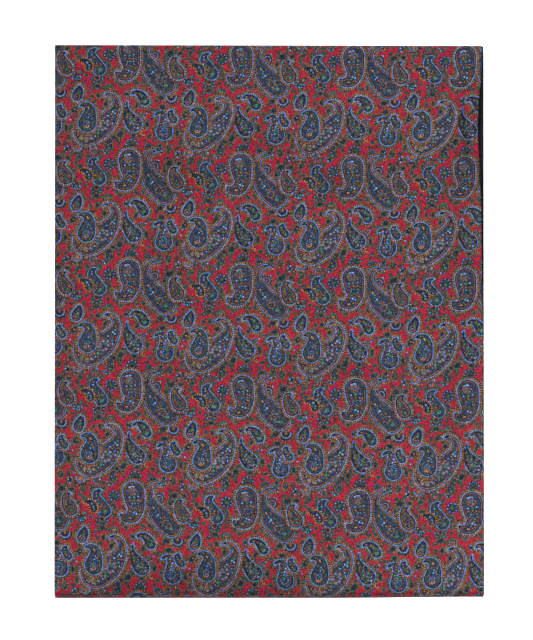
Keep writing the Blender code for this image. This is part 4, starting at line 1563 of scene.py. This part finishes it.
@dataclass
class ClothRun:
    """One panel's surface carried along the folded path, as a closed slab.

    Fields:
        name: The piece's name.
        stations: The path of its own surface.
        first, last: Lays of the stretches before and after its turn.
        replaces: CAD nodes that it stands for.
        cell: Size of a mesh cell, in metres.
        start_rolled: Whether the path starts at a free end with a rolled edge.
        lift: Lift of the cloth by place.
        printed: Whether it is the printed silk, or else the plain backing.
        chart_start: Where the path starts on the print, in metres along.
        back_columns: Columns of the plain inner side.
    """

    name: str
    stations: Stations
    first: Lay
    last: Lay
    replaces: tuple[str, ...]
    cell: float
    start_rolled: bool = False
    lift: Callable[[Array, Array], Array] = flat_lift
    printed: bool = False
    chart_start: float = HALF_LENGTH
    back_columns: int = 10

    def build(self, finish: Material, chart: PrintChart | None) -> Object:
        """Make the run's mesh and dress it.

        Args:
            finish: The cloth's material.
            chart: The print, or None on plain cloth.

        Returns:
            The new object.
        """
        share, ring_x = self._columns()
        rows, ring_s = self._rows()
        ring = np.maximum(ring_x[None], ring_s[:, None])
        out, drop = (profile[ring] for profile in rim_profile())
        length = np.maximum(np.hypot(ring_x[None], ring_s[:, None]), 1)
        side = np.where(share < 0.5, -1, 1)
        out_x = side[None] * ring_x[None] / length * out
        out_s = ring_s[:, None] / length * out
        surface, flat = self._place(rows, share[None], out_x, out_s, drop, self.lift)
        first_row = int((ring_s > 0).sum())
        inner_share = np.linspace(0, 1, self.back_columns + 1)[1:-1]
        level, body = np.zeros((1, 1)), np.full((1, 1), BODY)
        inner, _ = self._place(rows[first_row:], inner_share[None], level, level, body, flat_lift)
        points = np.concatenate([surface.reshape(-1, 3), inner.reshape(-1, 3)])
        printed, others = self._faces(surface.shape[:2], first_row)
        mesh = self._mesh(points, printed, others)
        self._bake_map(mesh, flat, surface.shape[:2], len(points))
        if chart is not None:
            places = chart.chart(flat[..., 0].ravel(), flat[..., 1].ravel())
            chart.dress(mesh, places, printed)
        mesh.materials.append(finish)
        mesh.shade_smooth()
        made = placed(self.name, mesh)
        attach(made, "root")
        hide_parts(*self.replaces)
        length_mm = self.stations.gone[-1] / MM
        LOG.info("%s: %d faces, %.0f mm of cloth", self.name, len(mesh.polygons), length_mm)
        return made

    def flat_size(self) -> tuple[float, float]:
        """Cut width and length of what this run shows, in metres."""
        rolled = RIM_OUT if self.start_rolled else 0.0
        return (2 * HALF_WIDTH, float(self.stations.gone[-1]) + rolled)

    def _columns(self) -> tuple[Array, Array]:
        """Share of the width and rim ring of each column."""
        count = round((2 * HALF_WIDTH - 2 * RIM_OUT) / self.cell)
        inside = np.linspace(0, 1, count + 1)
        rings = np.arange(1, RIM_RINGS + 1)
        share = np.concatenate([np.zeros(RIM_RINGS), inside, np.ones(RIM_RINGS)])
        return share, np.concatenate([rings[::-1], np.zeros(count + 1, int), rings])

    def _rows(self) -> tuple[Array, Array]:
        """Station number and rim ring of each row."""
        count = len(self.stations.gone)
        rings = np.arange(RIM_RINGS, 0, -1) if self.start_rolled else np.zeros(0, int)
        stations = np.concatenate([np.zeros(len(rings), int), np.arange(count)])
        return stations, np.concatenate([rings, np.zeros(count, int)])

    def _place(
        self,
        rows: Array,
        share: Array,
        out_x: Array,
        out_s: Array,
        drop: Array,
        lift: Callable[[Array, Array], Array],
    ) -> tuple[Array, Array]:
        """Carry a grid along the path.

        A point is its station, moved across by its share of the width, out
        by the rim (to the side, or back along the path at a free end), down
        by the rim's drop or the cloth's body, and lifted where it lies above
        the fold's middle.

        Args:
            rows: Station number of each row.
            share: Share of the width, as a row.
            out_x: How far out to the side, as a grid.
            out_s: How far out past the start, as a grid.
            drop: How far in behind the surface, as a grid.
            lift: Lift of the cloth by place.

        Returns:
            Places as a grid of x, y and z, and flat places as (across, along).
        """
        path = self.stations
        place = path.place[rows]
        turned = smooth_step(path.turned[rows])
        edges = []
        for before, after in zip(self.first.edges(place[:, 0]), self.last.edges(place[:, 0])):
            edges.append((before + (after - before) * turned)[:, None])
        left, right = edges[0] + RIM_OUT, edges[1] - RIM_OUT
        across = left + share * (right - left) + out_x
        place, facing, heading = (part[rows][:, None] for part in path[:3])
        along = place[..., 0] - heading[..., 0] * out_s - facing[..., 0] * drop
        height = place[..., 1] - heading[..., 1] * out_s - facing[..., 1] * drop
        along, height = (np.broadcast_to(part, across.shape) for part in (along, height))
        draw = draw_in(across, along)
        upper = path.turned[rows][:, None] <= 0.5
        grid = np.stack([across, along + draw, height + lift(across, along) * upper], 2)
        gone = self.chart_start - path.gone[rows][:, None] + out_s + draw
        return grid, np.stack([across, np.broadcast_to(gone, across.shape)], 2)

    def _faces(self, shape: tuple[int, int], first_row: int) -> tuple[Array, list[Array]]:
        """Faces of the printed surface, and those of the inner side and its ends.

        The inner side is a coarse grid joined to the rim's last ring at the
        sides, and stitched to it with triangles at the ends.
        """
        rows, columns = shape
        number = np.arange(rows * columns).reshape(rows, columns)
        inner_columns = self.back_columns - 1
        inner = rows * columns + np.arange((rows - first_row) * inner_columns).reshape(-1, inner_columns)
        inner = np.hstack([number[first_row:, :1], inner, number[first_row:, -1:]])
        outward = self._outward()
        surface = self._grid_faces(number, outward)
        behind = self._grid_faces(inner, -outward)
        before = number[first_row::-1, 0] if first_row else number[:1, 0]
        after = number[: first_row + 1, -1] if first_row else number[:1, -1]
        start_edge = np.concatenate([before, number[0, 1:-1], after])
        start = self._stitched(start_edge, inner[0], outward)
        end = self._stitched(number[-1], inner[-1], -outward)
        return surface, [behind, start, end]

    def _outward(self) -> int:
        """1 where across x heading points out of the surface, or -1."""
        heading, facing = self.stations.heading[0], self.stations.facing[0]
        return 1 if -heading[1] * facing[0] + heading[0] * facing[1] > 0 else -1

    @staticmethod
    def _grid_faces(number: Array, outward: int) -> Array:
        """Four-sided faces between the rows and columns of a grid of vertices."""
        corners = [number[:-1, :-1], number[:-1, 1:], number[1:, 1:], number[1:, :-1]]
        return np.stack(corners[::outward], 2).reshape(-1, 4)

    @staticmethod
    def _stitched(edge: Array, other: Array, outward: int) -> Array:
        """Triangles between two rows of vertices that share their first and last.

        Both rows run evenly from 0 to 1. Each step of one row is joined to
        the vertex of the other that its middle has passed.
        """
        edge_step = (np.arange(len(edge) - 1) + 0.5) / (len(edge) - 1)
        other_step = (np.arange(len(other) - 1) + 0.5) / (len(other) - 1)
        fan = np.stack([edge[1:], edge[:-1], other[np.searchsorted(other_step, edge_step)]], 1)
        back = np.stack([other[:-1], other[1:], edge[np.searchsorted(edge_step, other_step, "right")]], 1)
        triangles = np.vstack([fan, back])
        sound = (triangles != np.roll(triangles, 1, axis=1)).all(1)
        return triangles[sound][:, ::outward]

    def _mesh(self, points: Array, printed: Array, others: list[Array]) -> Mesh:
        """Put the faces into a mesh, the printed ones first."""
        mesh = bpy.data.meshes.new(self.name)
        groups = [printed, *others]
        sizes = np.concatenate([np.full(len(group), group.shape[1]) for group in groups])
        corners = np.concatenate([group.ravel() for group in groups])
        mesh.vertices.add(len(points))
        mesh.vertices.foreach_set("co", points.ravel())
        mesh.loops.add(len(corners))
        mesh.loops.foreach_set("vertex_index", corners.astype(np.int32))
        mesh.polygons.add(len(sizes))
        starts = np.concatenate([[0], np.cumsum(sizes)[:-1]])
        mesh.polygons.foreach_set("loop_start", starts.astype(np.int32))
        mesh.update(calc_edges=True)
        return mesh

    @staticmethod
    def _bake_map(mesh: Mesh, flat: Array, shape: tuple[int, int], count: int) -> None:
        """Lay the cloth out flat in a UV map.

        The surface lies at the left, to scale, and the plain inner side is
        squeezed into a strip at the right.

        Args:
            mesh: The run's mesh, whose surface comes first.
            flat: Flat places of the surface, as a grid.
            shape: Rows and columns of the surface.
            count: How many vertices the mesh has.
        """
        place = flat.reshape(-1, 2)
        low, high = place.min(0), place.max(0)
        scale = MAP_SPAN / (high - low).max()
        corner = np.empty(len(mesh.loops), np.int32)
        mesh.loops.foreach_get("vertex_index", corner)
        rows, columns = shape
        printed = 4 * (rows - 1) * (columns - 1)
        points = np.empty((count, 3), np.float32)
        mesh.vertices.foreach_get("co", points.ravel())
        uv = np.empty((len(corner), 2), np.float32)
        uv[:printed] = (place[corner[:printed]] - low) * scale + MAP_EDGE
        depth = np.linspace(0, 1, count - rows * columns) if count > rows * columns else np.zeros(0)
        later = np.concatenate([np.repeat(np.linspace(0, 1, rows), columns), depth])
        sideways = points[:, 0] / (2 * HALF_WIDTH) + 0.5
        uv[printed:, 0] = MAP_STRIP[0] + MAP_STRIP[1] * sideways[corner[printed:]]
        uv[printed:, 1] = MAP_EDGE + MAP_STRIP_HEIGHT * later[corner[printed:]]
        layer = mesh.uv_layers.new(name="OFBake")
        layer.uv.foreach_set("vector", uv.ravel())


@dataclass
class EdgeStitches:
    """Small slip stitches that close the turned edges, in one piece of thread.

    Fields:
        pitch, length, thread, sides: The stitches' spacing, size and roundness.
        inset: How far in from the cloth's edge their middles lie.
        end_gap: What a side's row leaves free at its far end.
        corner_gaps: What an end's row leaves free at the left and at the right.
        run, climb: How a stitch points, along the edge and up.
        shoulder: A ring's place and size where the round end starts, as radii.
    """

    name: str = "edge_slip_stitches"
    pitch: float = 0.0034
    length: float = 0.0013
    thread: float = 0.00032
    sides: int = 6
    inset: float = 0.00022
    end_gap: float = 0.001
    corner_gaps: tuple[float, float] = (0.002, 0.003)
    run: float = 0.75
    climb: float = 0.66
    shoulder: tuple[float, float] = (0.3, 0.7)

    def build(self, finish: Material) -> Object:
        """Lay the stitches along every seam that shows and join them.

        Args:
            finish: The thread's material.

        Returns:
            The new object.
        """
        top_seam = (TOP_SILK_Z + TOP_BACKING_Z) / 2
        second_seam = (SECOND_SILK_Z + SECOND_BACKING_Z) / 2
        middles, ways = [], []
        for lay, height, end in (
            (TOP, top_seam, HALF_LENGTH - self.end_gap),
            (SECOND, second_seam, SECOND_END_Y - self.end_gap),
            (THIRD, (THIRD_BACKING_Z + THIRD_SILK_Z) / 2, BACK_AXIS_Y),
            (UNDER, (UNDER_SILK_Z + UNDER_BACKING_Z) / 2, BACK_AXIS_Y),
        ):
            along = np.arange(FRONT_AXIS_Y, end, self.pitch)
            for side, edge in zip((-1, 1), lay.edges(along)):
                level = np.full_like(along, height)
                lift = TopLoft().lift(edge, along) if lay.drawn else 0.0
                middles.append(np.stack([edge - side * self.inset, along, level + lift], 1))
                ways.append(np.tile([0.0, self.run, self.climb], (len(along), 1)))
        for end, height in ((HALF_LENGTH, top_seam), (SECOND_END_Y, second_seam)):
            first, last = self.corner_gaps
            across = np.arange(first - HALF_WIDTH, HALF_WIDTH - last, self.pitch)
            level = np.full_like(across, height)
            middles.append(np.stack([across, np.full_like(across, end - self.inset), level], 1))
            ways.append(np.tile([self.run, 0.0, self.climb], (len(across), 1)))
        middle = np.concatenate(middles)
        middle[:, 1] += draw_in(middle[:, 0], middle[:, 1])
        points, faces = self._capsules(middle, np.concatenate(ways))
        mesh = bpy.data.meshes.new(self.name)
        mesh.from_pydata(points.tolist(), [], faces)
        mesh.materials.append(finish)
        mesh.shade_smooth()
        made = placed(self.name, mesh)
        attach(made, "root")
        LOG.info("%s: %d stitches, %d faces", self.name, len(middle), len(mesh.polygons))
        return made

    def _capsules(self, middle: Array, way: Array) -> tuple[Array, list]:
        """Round-ended threads about their middles.

        The profile is a rod with a ring at each shoulder and a pole at each
        end, turned about the stitch's way.
        """
        half, radius = self.length / 2, self.thread / 2
        inward, small = self.shoulder
        rings = (
            (-half + inward * radius, small),
            (-half + radius, 1.0),
            (half - radius, 1.0),
            (half - inward * radius, small),
        )
        way = way / np.linalg.norm(way, axis=1)[:, None]
        first = np.cross(way, [1.0, 0.0, 0.05])
        first = first / np.linalg.norm(first, axis=1)[:, None]
        second = np.cross(way, first)
        angle = (np.arange(self.sides) * 2 * math.pi / self.sides)[None, :, None]
        wheel = first[:, None] * np.cos(angle) + second[:, None] * np.sin(angle)
        rows = [(middle - way * half)[:, None]]
        for reach, share in rings:
            rows.append(middle[:, None] + way[:, None] * reach + wheel * radius * share)
        rows.append((middle + way * half)[:, None])
        points = np.concatenate(rows, axis=1)
        size = points.shape[1]
        ring = 1 + np.arange(len(rings) * self.sides).reshape(len(rings), self.sides)
        turned = np.roll(ring, -1, axis=1)
        quads = np.stack([ring[:-1], turned[:-1], turned[1:], ring[1:]], 2).reshape(-1, 4)
        low = np.stack([turned[0], ring[0], np.zeros(self.sides, int)], 1)
        high = np.stack([ring[-1], turned[-1], np.full(self.sides, size - 1)], 1)
        shift = np.arange(len(middle))[:, None, None] * size
        faces = []
        for group in (quads, low, high):
            faces.extend((group[None] + shift).reshape(-1, group.shape[1]).tolist())
        return points.reshape(-1, 3), faces


@dataclass
class FoldedScarf:
    """The whole scarf: its runs of cloth, from the top down, and its stitches."""

    fine_cell: float = 0.00128
    under_cell: float = 0.0018
    hidden_cell: float = 0.0026
    plain_cell: float = 0.004

    @staticmethod
    def _over_front(start: float, height: float, facing: int, cell: float) -> Stations:
        """From a free end forward along a stretch, and down round the front fold."""
        level = straight(start, FRONT_AXIS_Y, height, facing, cell)
        axis = (FRONT_AXIS_Y, FRONT_AXIS_Z)
        return joined(level, half_turn(axis, height - FRONT_AXIS_Z, -1, 1, facing))

    @staticmethod
    def _round_back(low: float, high: float, facing: int, cell: float) -> Stations:
        """Back along the lowest stretch, up round the back fold, and in to the hidden end."""
        axis = (BACK_AXIS_Y, BACK_AXIS_Z)
        return joined(
            straight(FRONT_AXIS_Y, BACK_AXIS_Y, low, facing, cell),
            half_turn(axis, BACK_AXIS_Z - low, 1, -1, -facing),
            straight(BACK_AXIS_Y, HOOK_END_Y, high, -facing, cell),
        )

    def runs(self) -> list[ClothRun]:
        """The runs, the printed face's first."""
        top, second = HALF_LENGTH - RIM_OUT, SECOND_END_Y - RIM_OUT
        third = HOOK_END_Y - HOOK_GAP
        fine, under, hidden, plain = self.fine_cell, self.under_cell, self.hidden_cell, self.plain_cell
        between = joined(
            self._over_front(second, SECOND_SILK_Z, -1, hidden),
            straight(FRONT_AXIS_Y, third, THIRD_SILK_Z, 1, hidden),
        )
        silk = {"printed": True}
        rolled = {"start_rolled": True}
        return [
            ClothRun(
                "silk_face_top", self._over_front(top, TOP_SILK_Z, 1, fine), TOP, UNDER,
                ("silk_top_stretch",), fine, lift=TopLoft().lift, chart_start=top, **silk, **rolled,
            ),
            ClothRun(
                "silk_face_under", self._round_back(UNDER_SILK_Z, THIRD_SILK_Z, -1, under), UNDER, UNDER,
                ("silk_under_stretch",), under, chart_start=FRONT_AXIS_Y - math.pi * TOP_SILK_Z / 2, **silk,
            ),
            ClothRun(
                "silk_face_between", between, SECOND, THIRD, ("hidden_layers",), hidden, **silk, **rolled
            ),
            ClothRun(
                "backing_top", self._over_front(top, TOP_BACKING_Z, -1, plain), TOP, UNDER,
                ("backing_top_stretch",), plain, **rolled,
            ),
            ClothRun(
                "backing_second", self._over_front(second, SECOND_BACKING_Z, 1, plain), SECOND, THIRD,
                ("backing_second_stretch",), plain, **rolled,
            ),
            ClothRun(
                "backing_third", straight(FRONT_AXIS_Y, third, THIRD_BACKING_Z, -1, plain), THIRD, THIRD,
                ("hidden_layers",), plain,
            ),
            ClothRun(
                "backing_under", self._round_back(UNDER_BACKING_Z, THIRD_BACKING_Z, 1, plain), UNDER, UNDER,
                ("backing_under_stretch",), plain,
            ),
        ]

    def build(self) -> None:
        """Build every run and the stitches."""
        silk = PrintedSilk().build()
        backing = PlainBacking().build()
        chart = PrintChart()
        for run in self.runs():
            run.build(silk if run.printed else backing, chart if run.printed else None)
            run.flat_size()
        EdgeStitches().build(SeamThread().build())


class Lamp(NamedTuple):
    """A soft light that faces the scarf, by its place in metres.

    A sun's size is its angle, and an area light's is its side in metres.
    """

    name: str
    kind: str
    place: tuple[float, float, float]
    size: float
    power: float

    def hang(self) -> None:
        """Add the light to the scene."""
        lamp = bpy.data.lights.new(self.name, self.kind)
        if self.kind == "SUN":
            lamp.angle = self.size
        else:
            lamp.size = self.size
        lamp.energy = self.power
        holder = placed(self.name, lamp)
        holder.location = self.place
        holder.rotation_euler = Vector(self.place).to_track_quat("Z", "Y").to_euler()


@dataclass
class Studio:
    """A pale table, a low key light, a soft fill, and a camera that looks straight down."""

    table_size: float = 3.0
    table_z: float = -0.0004
    key: Lamp = Lamp("key", "SUN", (-0.55, 0.95, 0.42), math.radians(18), 7.0)
    fill: Lamp = Lamp("fill", "AREA", (0.45, -0.33, 0.78), 0.5, 7.3)
    room_light: float = 0.32
    camera_place: tuple[float, float] = (-0.0021, 0.0012)
    view_height: float = 0.4768
    lens: float = 300.0
    sensor: float = 36.0
    camera_sees: float = 20.0

    def build(self) -> None:
        """Set the table, the lights, the world and the camera."""
        scene = bpy.context.scene
        half = self.table_size / 2
        mesh = bpy.data.meshes.new("table")
        corners = [(x * half, y * half, self.table_z) for x, y in ((-1, -1), (1, -1), (1, 1), (-1, 1))]
        mesh.from_pydata(corners, [], [(0, 1, 2, 3)])
        mesh.materials.append(PaleFloor().build())
        table = placed("table", mesh)
        table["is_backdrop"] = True
        self.key.hang()
        self.fill.hang()
        world = bpy.data.worlds.new("soft_room")
        world.use_nodes = True
        room = world.node_tree.nodes["Background"].inputs
        room["Color"].default_value = (1.0, 1.0, 1.0, 1.0)
        room["Strength"].default_value = self.room_light
        scene.world = world
        scene.view_settings.view_transform = "Standard"
        camera = bpy.data.cameras.new("straight_down")
        camera.lens = self.lens
        camera.sensor_width = self.sensor
        camera.clip_end = self.camera_sees
        stand = placed("straight_down", camera)
        distance = self.lens * self.view_height / self.sensor
        stand.location = (*self.camera_place, TOP_SILK_Z + distance)
        scene.camera = stand


def main() -> list[list[float]]:
    """Build the scarf in order and return the CAD model's box."""
    logging.basicConfig(level=logging.INFO, format="%(name)s: %(message)s")
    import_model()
    cad_box = [list(corner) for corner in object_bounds()]
    Studio().build()
    FoldedScarf().build()
    return cad_box


if __name__ == "__main__":
    CAD_BOX = main()
